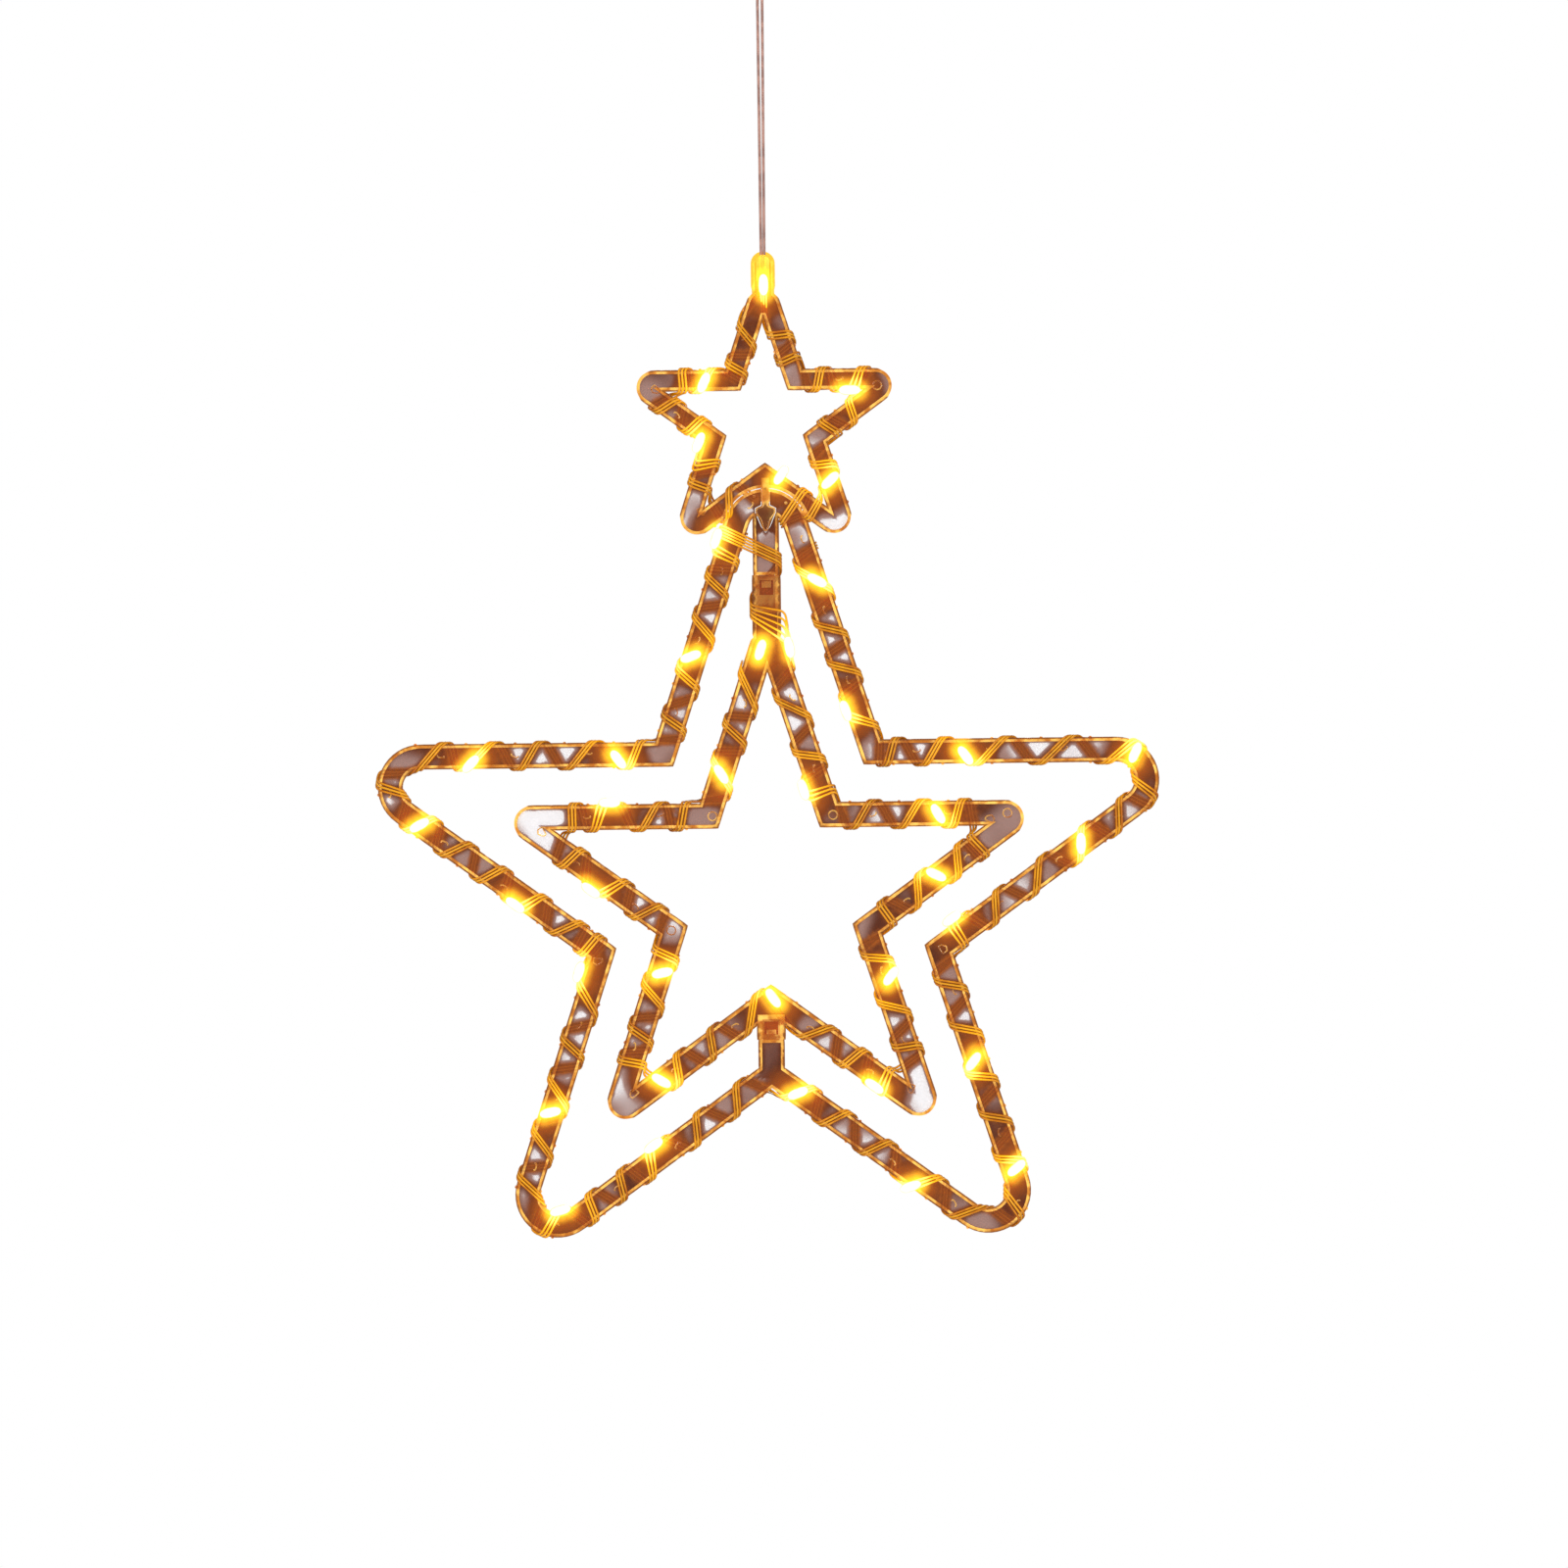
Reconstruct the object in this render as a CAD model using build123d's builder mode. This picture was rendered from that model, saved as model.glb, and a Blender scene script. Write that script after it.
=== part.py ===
from build123d import *
from collections import namedtuple
from math import atan2, copysign, cos, degrees, hypot, pi, sin, tan
import os

os.makedirs("parts", exist_ok=True)

# The three star frames, in millimetres.
# A tip radius runs from a star's centre to the sharp point that its rounded tip stops short of.
# The inner and the small star keep their share of the outer one, so that they still nest when it changes.
outer_tip_radius = 215.0
outer_rounding_share = 0.0837
outer_tip_rounding = outer_tip_radius * outer_rounding_share
outer_band = 10.0
inner_share = 0.6093
inner_tip_radius = outer_tip_radius * inner_share
inner_tip_rounding = 7.4
inner_band = 10.2
inner_drop = 0.6
small_share = 0.3395
small_tip_radius = outer_tip_radius * small_share
small_tip_rounding = 7.1
small_band = 8.4
web_thickness = 1.4
rim_width = 1.3
rim_depth = 3.6
nest_clearance = 0.4

# The flat string of thin wires and its lamps
wire_diameter = 1.25
wire_bend = 1.3
wire_standoff = 0.35
wire_spread = 1.1
lamp_diameter = 4.2
lamp_length = 9.4
lamp_gap = 0.1

# Bar, sleeves and tongues that clip the inner star into the outer one
bar_width = 10.6
sleeve_width = 11.6
sleeve_depth = 5.0
sleeve_share = 0.6395
sleeve_mouth = outer_tip_radius * sleeve_share
sleeve_length = 15.5
stem_sink = 6.9
tongue_width = 7.0
tongue_length = 13.8
slip = 0.25
window_width = 5.8
window_height = 6.3
window_drop = 2.0
latch_height = 1.0
latch_width = 4.2
pillar_share = 0.2842
pillar_mouth = outer_tip_radius * pillar_share
pillar_tongue = 8.6
pillar_window = 5.6

# Keyed tab that holds the small star on the outer star's arch
tab_neck_width = 3.3
tab_neck_length = 7.6
tab_width = 8.6
tab_shoulder = 2.6
tab_waist = 3.6
tab_length = 19.1

# Lug at the very top, where the lead goes in
lug_width = 9.6
lug_reach = small_tip_radius
lug_foot_share = 0.644
lug_foot = small_tip_radius * lug_foot_share
boss_width = 5.6
boss_length = 10.5
boss_top_gap = 1.6
boss_wall = 0.8
lead_offset = 2.4
gland_radius = 1.45
gland_depth = 8.0

# Lead: two cores side by side, pulled tight by the stars' weight
lead_length = 122.0
lead_core_diameter = 1.25
lead_spacing_low = 1.3
lead_spacing_high = 2.1
lead_axis_y = -20.0

# Battery box and its contents
box_width = 50.0
box_height = 80.0
box_depth = 21.0
box_wall = 1.8
box_corner = 3.5
lid_thickness = 2.2
lid_tongue = 1.0
lid_groove = 1.1
lid_play = 0.1
lid_rib = 0.4
board_bay = 20.0
cell_diameter = 14.2
cell_spacing = 14.8
cell_length = 49.2
cell_nub_diameter = 5.2
cell_nub_length = 1.2
cell_rib = 1.2
spring_wire = 0.7
spring_radius = 3.6
spring_turns = 3.0
contact_plate = 0.5
contact_width = 9.0
board_thickness = 1.2
board_width = 33.0
board_height = 12.0
board_standoff = 4.6
standoff_diameter = 3.6
chip_size = 4.4
chip_height = 1.6
solder_diameter = 2.2
solder_height = 0.7
switch_place = 9.0
switch_length = 12.0
switch_height = 5.0
switch_depth = 5.4
switch_travel = 5.0
slot_play = 0.35
knob_width = 3.6
knob_height = 2.4
knob_proud = 1.2
post_diameter = 5.2
post_spacing = 41.0
screw_head_diameter = 3.8
screw_head_height = 1.2
screw_shank_diameter = 1.9
screw_length = 8.0
screw_play = 0.05
screw_cross = 0.7
grip_flange_diameter = 9.0
grip_neck_diameter = 7.0
grip_mouth_diameter = 15.0
grip_mouth_bore = 13.0
grip_bore = 4.4
grip_flange = 1.2
grip_play = 0.1
throat_drop = 2.5
mouth_drop = 10.0
board_wire_gap = 0.45

# Window fixing: suction cup, hook and the eye that the box hangs by
cup_diameter = 42.0
cup_lip = 1.2
cup_body_diameter = 24.0
cup_neck_diameter = 9.0
cup_neck_start = 8.0
cup_neck_end = 11.0
cup_head_diameter = 13.0
cup_depth = 14.0
cup_dome = 2.4
hook_ring_bore = 9.2
hook_ring_diameter = 16.0
hook_plate = 2.4
hook_arm_width = 6.0
hook_drop = 20.0
peg_diameter = 3.4
peg_reach = 25.5
peg_bend = 2.6
peg_upturn = 5.0
eye_width = 14.0
eye_slot_width = 6.0
eye_slot_height = 9.0
eye_plate = 3.0
eye_crown = 3.0
eye_seat_gap = 0.3
box_drop = 30.0

# A five-pointed star: the step from arm to arm, each arm's half angle, and how deep its valleys lie
arms = 5
step = 2 * pi / arms
tip_half = step / 4
valley_share = cos(step) / cos(step / 2)
overrun = 2 * rim_depth

# Places down the middle line: peg, box, throat, lug and the outer star's centre
peg_z = -hook_drop
box_top = -box_drop
box_floor = box_top - box_height
throat_z = box_floor - throat_drop
lug_top_z = throat_z - lead_length
arch_top = outer_tip_radius - outer_tip_rounding * (1 / sin(tip_half) - 1)
small_rise = arch_top + nest_clearance + small_tip_radius * valley_share
star_z = lug_top_z - small_rise - lug_reach
star_y = lead_axis_y + lead_offset
box_back = lead_axis_y + box_depth / 2
box_front = lead_axis_y - box_depth / 2

star_plane = Plane(origin=(0, star_y, star_z), x_dir=(1, 0, 0), z_dir=(0, -1, 0))


def finish(builder, name):
    """Label a finished piece and write it."""
    builder.part.label = name
    export_step(builder.part, f"parts/{name}.step")


def star_face(tip_radius, rounding):
    """Star outline whose corners lie in turn at the tip radius and at its valley share, tips rounded."""
    radii = [tip_radius, tip_radius * valley_share]
    corners = [
        (radii[k % 2] * sin(k * step / 2), radii[k % 2] * cos(k * step / 2)) for k in range(2 * arms)
    ]
    with BuildSketch(mode=Mode.PRIVATE) as face:
        with BuildLine():
            Polyline(*corners, close=True)
        make_face()
        if rounding > 0:
            fillet(face.vertices().group_by(SortBy.DISTANCE)[-1], rounding)
    return face.sketch


def band_face(tip_radius, rounding, band, inset):
    """The flat band of a star, or with an inset the part of it that lies within its rims."""
    face = star_face(tip_radius - inset / sin(tip_half), rounding - inset)
    band_hole = band - inset
    return face - star_face(tip_radius - band_hole / sin(tip_half), max(rounding - band_hole, 0))


def upright(width, low, high):
    """A rectangle on the middle line between two heights."""
    return Pos(0, (low + high) / 2) * Rectangle(width, high - low, mode=Mode.PRIVATE)


def tab_face(grow):
    """Keyed tab under the small star's lowest valley: a neck, then a drop with its point down."""
    with BuildSketch(mode=Mode.PRIVATE) as tab:
        with BuildLine():
            Polyline(
                (-tab_neck_width / 2 - grow, small_band / 2),
                (tab_neck_width / 2 + grow, small_band / 2),
                (tab_neck_width / 2 + grow, -tab_neck_length + grow),
                (tab_width / 2 + grow, -tab_neck_length - tab_shoulder / 2 + grow),
                (tab_width / 2 + grow, -tab_neck_length - tab_shoulder - grow),
                (tab_waist / 2 + grow, -tab_length + tab_shoulder),
                (0, -tab_length - grow),
                (-tab_waist / 2 - grow, -tab_length + tab_shoulder),
                (-tab_width / 2 - grow, -tab_neck_length - tab_shoulder - grow),
                (-tab_width / 2 - grow, -tab_neck_length - tab_shoulder / 2 + grow),
                (-tab_neck_width / 2 - grow, -tab_neck_length + grow),
                close=True,
            )
        make_face()
    return tab.sketch


# How a winding moves along its band in one turn: over the back, round the inner edge, over the front,
# round the outer edge; with the side and the face at which each of these begins
turn_shares = [0.26, 0.14, 0.36, 0.24]
turn_sides = [1, -1, -1, 1]
turn_faces = [1, 1, -1, -1]

Star = namedtuple("Star", "tip_radius band rise tip_arc")
outer = Star(outer_tip_radius, outer_band, 0, outer_tip_rounding - outer_band / 2)
inner = Star(inner_tip_radius, inner_band, -inner_drop, 0)
small = Star(small_tip_radius, small_band, small_rise, 0)
Contact = namedtuple("Contact", "x z heading_x heading_z y")

edge_reach = wire_diameter / 2 + wire_standoff
face_reach = rim_depth / 2 + edge_reach
sleeve_reach = sleeve_depth / 2 + edge_reach
wire_pitch = wire_diameter * wire_spread


def leg_length(star):
    """Length of a band's middle line from a valley to its sharp tip."""
    radius = star.tip_radius - star.band / 2 / sin(tip_half)
    return radius * hypot(valley_share * sin(step / 2), 1 - valley_share * cos(step / 2))


def half_run(star):
    """Length of the middle line from a valley to the top of the tip's arc."""
    return leg_length(star) - star.tip_arc / tan(tip_half) + star.tip_arc * (pi / 2 - tip_half)


def valley_gap(star):
    """Nearest place to a valley where three wires fit round the outer edge."""
    return (star.band / 2 + edge_reach) * tan(step / 2) + 2 * wire_pitch


def crotch_gap(star):
    """Nearest place to a sharp tip where three wires fit round the inner edge."""
    return (star.band / 2 + edge_reach) / tan(tip_half) + 2 * wire_pitch


def band_place(star, arm, run, side):
    """Point beside a band's middle line and the line's heading there, clockwise.

    The run is counted from the arm's tip, negative before it. Within the tip's arc the place turns
    about the arc's centre, and beyond it the place goes straight down a leg.
    """
    radius = star.tip_radius - star.band / 2 / sin(tip_half)
    swing = star.tip_arc * (pi / 2 - tip_half)
    if abs(run) < swing:
        heading = run / star.tip_arc
        along = radius - star.tip_arc / sin(tip_half) + (star.tip_arc + side) * cos(heading)
        across = (star.tip_arc + side) * sin(heading)
    else:
        sense = copysign(1, run)
        back = abs(run) - swing + star.tip_arc / tan(tip_half)
        along = radius - back * cos(tip_half) + side * sin(tip_half)
        across = sense * (back * sin(tip_half) + side * cos(tip_half))
        heading = sense * (pi / 2 - tip_half)
    turn = arm * step
    x = along * sin(turn) + across * cos(turn)
    z = along * cos(turn) - across * sin(turn)
    return x, z + star.rise, cos(heading + turn), -sin(heading + turn)


def contact(star, arm, run, corner):
    """Where the winding bends round its band at one of the four corners of a turn."""
    side = turn_sides[corner] * (star.band / 2 + edge_reach)
    return Contact(*band_place(star, arm, run, side), turn_faces[corner] * face_reach)


def wound(star, arm, start, end, phase, steps):
    """Contacts of a winding along one leg or arm, the pitch such that the last one falls on the end."""
    total = sum(turn_shares[(phase + k) % 4] for k in range(steps))
    pitch = (end - start) / total
    contacts = []
    run = start
    for k in range(steps + 1):
        corner = (phase + k) % 4
        contacts.append(contact(star, arm, run, corner))
        run = run + pitch * turn_shares[corner]
    return contacts


def wound_arm(star, arm, left_steps, right_steps):
    """Turns up an arm's left leg, one pass over its tip, and turns down its right leg."""
    leg = leg_length(star)
    crotch = crotch_gap(star)
    rise = wound(star, arm, valley_gap(star) - leg, -crotch, 0, left_steps)
    fall = wound(star, arm, crotch, leg - valley_gap(star), 3, right_steps)
    return rise + fall


def heading_sine(a, b):
    """Sine of the angle between the straight pass from one contact to the next and the first heading."""
    reach = hypot(b.x - a.x, b.z - a.z)
    return ((b.x - a.x) * a.heading_z - (b.z - a.z) * a.heading_x) / reach


def direction(a, b):
    """Unit vector of the pass from one contact to the next."""
    return Vector(b.x - a.x, b.y - a.y, b.z - a.z).normalized()


def steepness(here, before, after):
    """Least sine between the heading and the ways in and out, half round the bend and half round an edge."""
    heading = Vector(here.heading_x, 0, here.heading_z)
    ways = [direction(a, b) for a, b in ((before, here), (here, after)) if a and b]
    if len(ways) > 1:
        ways.append((ways[0] + ways[1]).normalized())
    sines = [heading.cross(way).length for way in ways]
    for other in (before, after):
        if other and other.y * here.y < 0:
            middle = (heading + Vector(other.heading_x, 0, other.heading_z)) * 0.5
            sines.append(middle.cross(direction(here, other)).length)
    return min(sines)


def wire_points(contacts, place):
    """Route of one wire: each contact moved along its band, so that side by side wires never cross."""
    points = []
    order = 1
    for before, here, after in zip([None, *contacts], contacts, [*contacts[1:], None]):
        if before and before.y * here.y > 0:
            order = order * copysign(1, -heading_sine(before, here) * heading_sine(here, before))
        shift = place * order * wire_pitch / steepness(here, before, after)
        points.append(
            Vector(here.x + shift * here.heading_x, star_y + here.y, star_z + here.z + shift * here.heading_z)
        )
    return points


def sampled(points):
    """Points one wire radius apart along a route."""
    samples = []
    for a, b in zip(points, points[1:]):
        count = max(2, round(2 * (b - a).length / wire_diameter))
        samples.extend(a + (b - a) * (k / count) for k in range(count))
    return samples


def least_gap(points):
    """Least clear gap between two stretches of one wire that aren't neighbours."""
    samples = sampled(points)
    apart = round(6 * rim_depth / wire_diameter)
    gaps = [
        (samples[i] - samples[j]).length
        for i in range(len(samples))
        for j in range(i + apart, min(i + 8 * apart, len(samples)))
    ]
    return min(gaps) - wire_diameter if gaps else wire_diameter


front_passes = []


def write_strings(names, windings, places, first_cut=False, last_cut=True, before=(), after=()):
    """Pieces of one string. Each piece ends half way along a pass over the back, face to face with the next.

    Before and after are the contacts of another piece that the string meets at its cut ends.
    """
    contacts = [*before, *[c for winding in windings for c in winding], *after]
    for a, b in zip(contacts, contacts[1:]):
        if a.y < 0 and b.y < 0 and (a, b) not in front_passes:
            front_passes.append((a, b))
    starts = [len(before)]
    for winding in windings:
        starts.append(starts[-1] + len(winding))
    for k, name in enumerate(names):
        with BuildPart() as string:
            for place in places:
                points = wire_points(contacts, place)
                first = starts[k]
                last = starts[k + 1]
                route_points = points[first:last]
                if k > 0 or first_cut:
                    route_points[0] = (points[first] + points[first + 1]) * 0.5
                if k + 1 < len(names) or after:
                    route_points.append((points[last] + points[last + 1]) * 0.5)
                elif last_cut:
                    route_points[-1] = (points[last - 2] + points[last - 1]) * 0.5
                if k + 1 < len(names) or after:
                    route_points.insert(-1, points[last])
                with BuildLine() as route:
                    FilletPolyline(*route_points, radius=wire_bend)
                with BuildSketch(route.line ^ 0):
                    Circle(wire_diameter / 2)
                sweep(path=route.line)
                gap = least_gap(route_points)
                print(name, "wire", place, "gap to itself", round(gap, 2), "bends", wire_bend)
        finish(string, name)


# Outer star's frame: its band, the bar down from the arch and the pillar up from the lowest valley
arch_under = arch_top - outer_band
bar_end = sleeve_mouth + slip
tongue_end = sleeve_mouth - tongue_length
valley_under = -(outer_tip_radius - outer_band / sin(tip_half)) * valley_share
pillar_end = -pillar_mouth - slip
pillar_tongue_end = pillar_end + pillar_tongue


def outer_plan(inset):
    """Plan of the outer star with its bar and pillar."""
    face = band_face(outer_tip_radius, outer_tip_rounding, outer_band, inset)
    face += upright(bar_width - 2 * inset, bar_end + inset, arch_under + outer_band / 2)
    return face + upright(bar_width - 2 * inset, valley_under - outer_band / 2, pillar_end - inset)


outer_face = outer_plan(0)
outer_rims = outer_face - outer_plan(rim_width)
tongues = upright(tongue_width, tongue_end, bar_end + rim_width)
tongues += upright(tongue_width, pillar_end - rim_width, pillar_tongue_end)
window_top = sleeve_mouth - window_drop
latches = upright(latch_width, window_top - window_height / 2, window_top - slip)
latches += upright(latch_width, pillar_end + slip + pillar_tongue / 4, pillar_end + pillar_tongue / 2)
tab_place = Pos(0, small_rise - small_tip_radius * valley_share)
tab_pocket = tab_place * tab_face(slip)

with BuildPart() as outer_star_frame:
    with BuildSketch(star_plane.offset(-web_thickness / 2)):
        add(outer_face)
        add(tongues)
    extrude(amount=web_thickness)
    with BuildSketch(star_plane.offset(-rim_depth / 2)):
        add(outer_rims)
    extrude(amount=rim_depth)
    with BuildSketch(star_plane.offset(web_thickness / 2)):
        add(latches)
    extrude(amount=latch_height)
    with BuildSketch(star_plane.offset(-overrun)):
        add(tab_pocket)
    extrude(amount=2 * overrun, mode=Mode.SUBTRACT)
finish(outer_star_frame, "outer_star_frame")

# Inner star's frame: its band, the stem with its sleeve above and the short sleeve below
inner_valley = -inner_drop - inner_tip_radius * valley_share
inner_top = inner_tip_radius - inner_tip_rounding * (1 / sin(tip_half) - 1) - inner_drop
stem_foot = inner_top - stem_sink


def inner_plan(inset):
    """Plan of the inner star with its stem above and its socket below."""
    face = Pos(0, -inner_drop) * band_face(inner_tip_radius, inner_tip_rounding, inner_band, inset)
    face += upright(sleeve_width - 2 * inset, stem_foot, sleeve_mouth - inset)
    return face + upright(sleeve_width - 2 * inset, inset - pillar_mouth, inner_valley + inner_band / 2)


inner_face = inner_plan(0)
inner_rims = inner_face - inner_plan(rim_width)
sleeves = upright(sleeve_width, sleeve_mouth - sleeve_length, sleeve_mouth)
sleeves += upright(sleeve_width, -pillar_mouth, inner_valley)
channels = upright(tongue_width + 2 * slip, tongue_end - slip, sleeve_mouth + overrun)
channels += upright(tongue_width + 2 * slip, -pillar_mouth - overrun, pillar_tongue_end + slip)
windows = upright(window_width, window_top - window_height, window_top)
windows += upright(window_width, -pillar_mouth + window_drop, -pillar_mouth + window_drop + pillar_window)

with BuildPart() as inner_star_frame:
    with BuildSketch(star_plane.offset(-web_thickness / 2)):
        add(inner_face)
    extrude(amount=web_thickness)
    with BuildSketch(star_plane.offset(-rim_depth / 2)):
        add(inner_rims)
    extrude(amount=rim_depth)
    with BuildSketch(star_plane.offset(-sleeve_depth / 2)):
        add(sleeves)
    extrude(amount=sleeve_depth)
    with BuildSketch(star_plane.offset(-web_thickness / 2 - slip)):
        add(channels)
    extrude(amount=web_thickness + 2 * slip, mode=Mode.SUBTRACT)
    with BuildSketch(star_plane):
        add(windows)
    extrude(amount=overrun, mode=Mode.SUBTRACT)
finish(inner_star_frame, "inner_star_frame")

# Small star's frame: its band trimmed round the arch, the tab below and the lug with its boss above
lug_top = small_rise + lug_reach


def small_plan(inset):
    """Plan of the small star with its lug, trimmed round the outer star's arch."""
    trim = nest_clearance + inset
    face = Pos(0, small_rise) * band_face(small_tip_radius, small_tip_rounding, small_band, inset)
    face += upright(lug_width - 2 * inset, small_rise + lug_foot, lug_top - lug_width / 2)
    face += Pos(0, lug_top - lug_width / 2) * Circle(lug_width / 2 - inset, mode=Mode.PRIVATE)
    return face - star_face(outer_tip_radius + trim / sin(tip_half), outer_tip_rounding + trim)


small_face = small_plan(0)
small_rims = small_face - small_plan(rim_width)
small_tab = tab_place * tab_face(0)
boss_low = lug_top - boss_top_gap - boss_length
boss_face = upright(boss_width, boss_low, lug_top - boss_top_gap - boss_width / 2)
boss_face += Pos(0, lug_top - boss_top_gap - boss_width / 2) * Circle(boss_width / 2, mode=Mode.PRIVATE)
boss_front = lead_offset + gland_radius + boss_wall

with BuildPart() as small_star_frame:
    with BuildSketch(star_plane.offset(-web_thickness / 2)):
        add(small_face)
    extrude(amount=web_thickness)
    with BuildSketch(star_plane.offset(-rim_depth / 2)):
        add(small_rims)
    extrude(amount=rim_depth)
    with BuildSketch(star_plane.offset(-rim_depth / 2)):
        add(small_tab)
    extrude(amount=rim_depth)
    with BuildSketch(star_plane):
        add(boss_face)
    extrude(amount=boss_front)
    with BuildSketch(Plane.XY.offset(lug_top_z)):
        with Locations((0, lead_axis_y)):
            Circle(gland_radius)
    extrude(amount=-gland_depth, mode=Mode.SUBTRACT)
finish(small_star_frame, "small_star_frame")

# Strings round the outer star
three_wires = (-1, 0, 1)
five_wires = (-2, -1, 0, 1, 2)
outer_arm_steps = 43
outer_right_steps = 18
outer_left_steps = 17
bar_start = 20.0
left_end = 30.0
outer_reach = half_run(outer) - valley_gap(outer)
outer_windings = [
    wound(outer, 0, bar_start, outer_reach, 1, outer_right_steps),
    *[wound(outer, arm, -outer_reach, outer_reach, 0, outer_arm_steps) for arm in range(1, arms)],
    wound(outer, 0, -outer_reach, -left_end, 0, outer_left_steps),
]
outer_names = [f"outer_string_{k + 1}" for k in range(arms + 1)]
write_strings(outer_names, outer_windings, three_wires)

# String over the bar and stem, from the outer star to the inner one
stem_reach = sleeve_width / 2 + edge_reach
bar_reach = bar_width / 2 + edge_reach
over_left = 22.2
over_bar = sleeve_mouth + 6.8
under_bar = sleeve_mouth + 4.3
stem_back = sleeve_mouth - 7.9
stem_front = sleeve_mouth - 11.9
stem_low = inner_top + 0.2
tip_right_back = 5.2
tip_left_back = 12.6
tip_left_front = 16.0
tip_standoff = 0.9


def tip_contact(run, face):
    """Contact just off the inner star's top tip, in front of it or behind it."""
    side = inner_band / 2 + edge_reach + tip_standoff
    return Contact(*band_place(inner, 0, run, side), face)


stem_contacts = [
    contact(outer, 0, -over_left, 1),
    contact(outer, 0, -over_left - wire_diameter * 2, 0),
    contact(outer, 0, -over_left, 3),
    Contact(bar_reach, over_bar, 0, -1, -face_reach),
    Contact(bar_reach, under_bar, 0, -1, sleeve_reach),
    Contact(-stem_reach, stem_back, 0, -1, sleeve_reach),
    Contact(-stem_reach, stem_front, 0, -1, -sleeve_reach),
    Contact(stem_reach + tip_standoff, stem_low, 0, -1, -sleeve_reach),
    tip_contact(tip_right_back, face_reach),
    tip_contact(-tip_left_back, face_reach),
]

# Strings round the inner star; at its lowest valley they cross in front, above the socket
inner_left_steps = 10
inner_right_steps = 12
socket_gap = 15.2
socket_cross = 9.0
inner_leg = leg_length(inner)
inner_crotch = crotch_gap(inner)


def corner_contact(before, here, after):
    """A contact where the string turns flat on the band, its wires spread square to the turn."""
    way = (direction(before, here) + direction(here, after)).normalized()
    return here._replace(heading_x=way.Z, heading_z=-way.X)


inner_first = wound(inner, 0, inner_crotch, inner_leg - valley_gap(inner), 3, inner_right_steps)
inner_low_right = wound(inner, 2, valley_gap(inner) - inner_leg, -inner_crotch, 0, inner_left_steps)
inner_low_right += wound(inner, 2, inner_crotch, inner_leg - socket_cross, 3, inner_right_steps - 1)
inner_low_left = wound(inner, 3, socket_gap - inner_leg, -inner_crotch, 3, inner_left_steps + 1)
inner_low_left += wound(inner, 3, inner_crotch, inner_leg - valley_gap(inner), 3, inner_right_steps)
socket_left = contact(inner, 3, socket_cross - inner_leg, 2)
socket_left = corner_contact(inner_low_right[-1], socket_left, inner_low_left[0])
inner_windings = [
    [*stem_contacts[-2:], tip_contact(-tip_left_front, -face_reach), *inner_first],
    wound_arm(inner, 1, inner_left_steps, inner_right_steps),
    inner_low_right[:-1],
    [inner_low_right[-1], socket_left, *inner_low_left],
    wound_arm(inner, 4, inner_left_steps, inner_right_steps),
    wound(inner, 0, valley_gap(inner) - inner_leg, -inner_crotch - wire_pitch, 0, inner_left_steps - 1),
]
inner_names = [f"inner_string_{k + 1}" for k in range(arms + 1)]
write_strings(["stem_string"], [stem_contacts[:-2]], five_wires, True, after=inner_windings[0][:3])
write_strings(inner_names, inner_windings, three_wires, True, before=stem_contacts[:-2])

# Strings round the small star, from the lug down its right side to the arch, and round its left side
small_left_steps = 6
small_right_steps = 4
small_leg = leg_length(small)
small_crotch = crotch_gap(small)
lug_exit = 2.0
arch_pass_runs = [12.2, 14.0, 19.0, 22.6]
arch_run = 15.4
arch_start = 27.0
front_low = Contact(0, boss_low - lug_exit, 1, 0, -face_reach)
small_low_right = wound(small, 2, valley_gap(small) - small_leg, -small_crotch, 0, small_left_steps)
small_low_right += [contact(small, 2, run, (3 + k) % 4) for k, run in enumerate(arch_pass_runs)]
small_low_left = wound(small, 3, -arch_start, -small_crotch, 0, 2)
small_low_left += wound(small, 3, small_crotch, small_leg - valley_gap(small), 3, small_right_steps)
arch_pass = [contact(outer, 0, arch_run, 2), contact(outer, 0, arch_run, 1), contact(outer, 0, arch_run, 0)]
small_first = wound(small, 0, small_crotch, small_leg - valley_gap(small), 3, small_right_steps)
small_windings = [
    [front_low._replace(z=boss_low - wire_standoff / 2), front_low, *small_first],
    wound_arm(small, 1, small_left_steps, small_right_steps),
    small_low_right + arch_pass,
    small_low_left,
    wound_arm(small, 4, small_left_steps, small_right_steps),
    wound(small, 0, valley_gap(small) - small_leg, -small_crotch - wire_pitch, 0, small_left_steps - 1),
]
small_names = [f"small_string_{k + 1}" for k in range(arms + 1)]
write_strings(small_names[:3], small_windings[:3], three_wires)
write_strings(small_names[3:], small_windings[3:], three_wires, True)

# Lamps: small moulded drops, each lying on the string's pass that is nearest to its place in the picture
picture_scale = 0.42
picture_centre = (785.6, 914.5)
picture_lean = 0.01134
lamp_end_share = 0.2
lamp_stray = 10.0
small_lamp_pixels = [(720, 391), (713, 451), (867, 399), (847, 491), (797, 480)]
inner_lamp_pixels = [
    (776, 663), (804, 661), (738, 788), (622, 817), (603, 906), (676, 991), (675, 1101), (789, 1018),
    (892, 1109), (909, 997), (955, 894), (957, 832), (820, 806),
]
outer_lamp_pixels = [
    (731, 549), (705, 669), (631, 773), (483, 778), (428, 837), (526, 920), (591, 989), (562, 1132),
    (572, 1232), (667, 1167), (812, 1110), (927, 1205), (1037, 1194), (993, 1085), (971, 939), (1096, 864),
    (1158, 772), (985, 773), (863, 726), (833, 594),
]


def picture_place(pixel):
    """A picture point in millimetres from the outer star's centre."""
    drop = pixel[1] - picture_centre[1]
    x = (pixel[0] - picture_centre[0] - drop * picture_lean) * picture_scale
    return x, -drop * picture_scale


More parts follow.
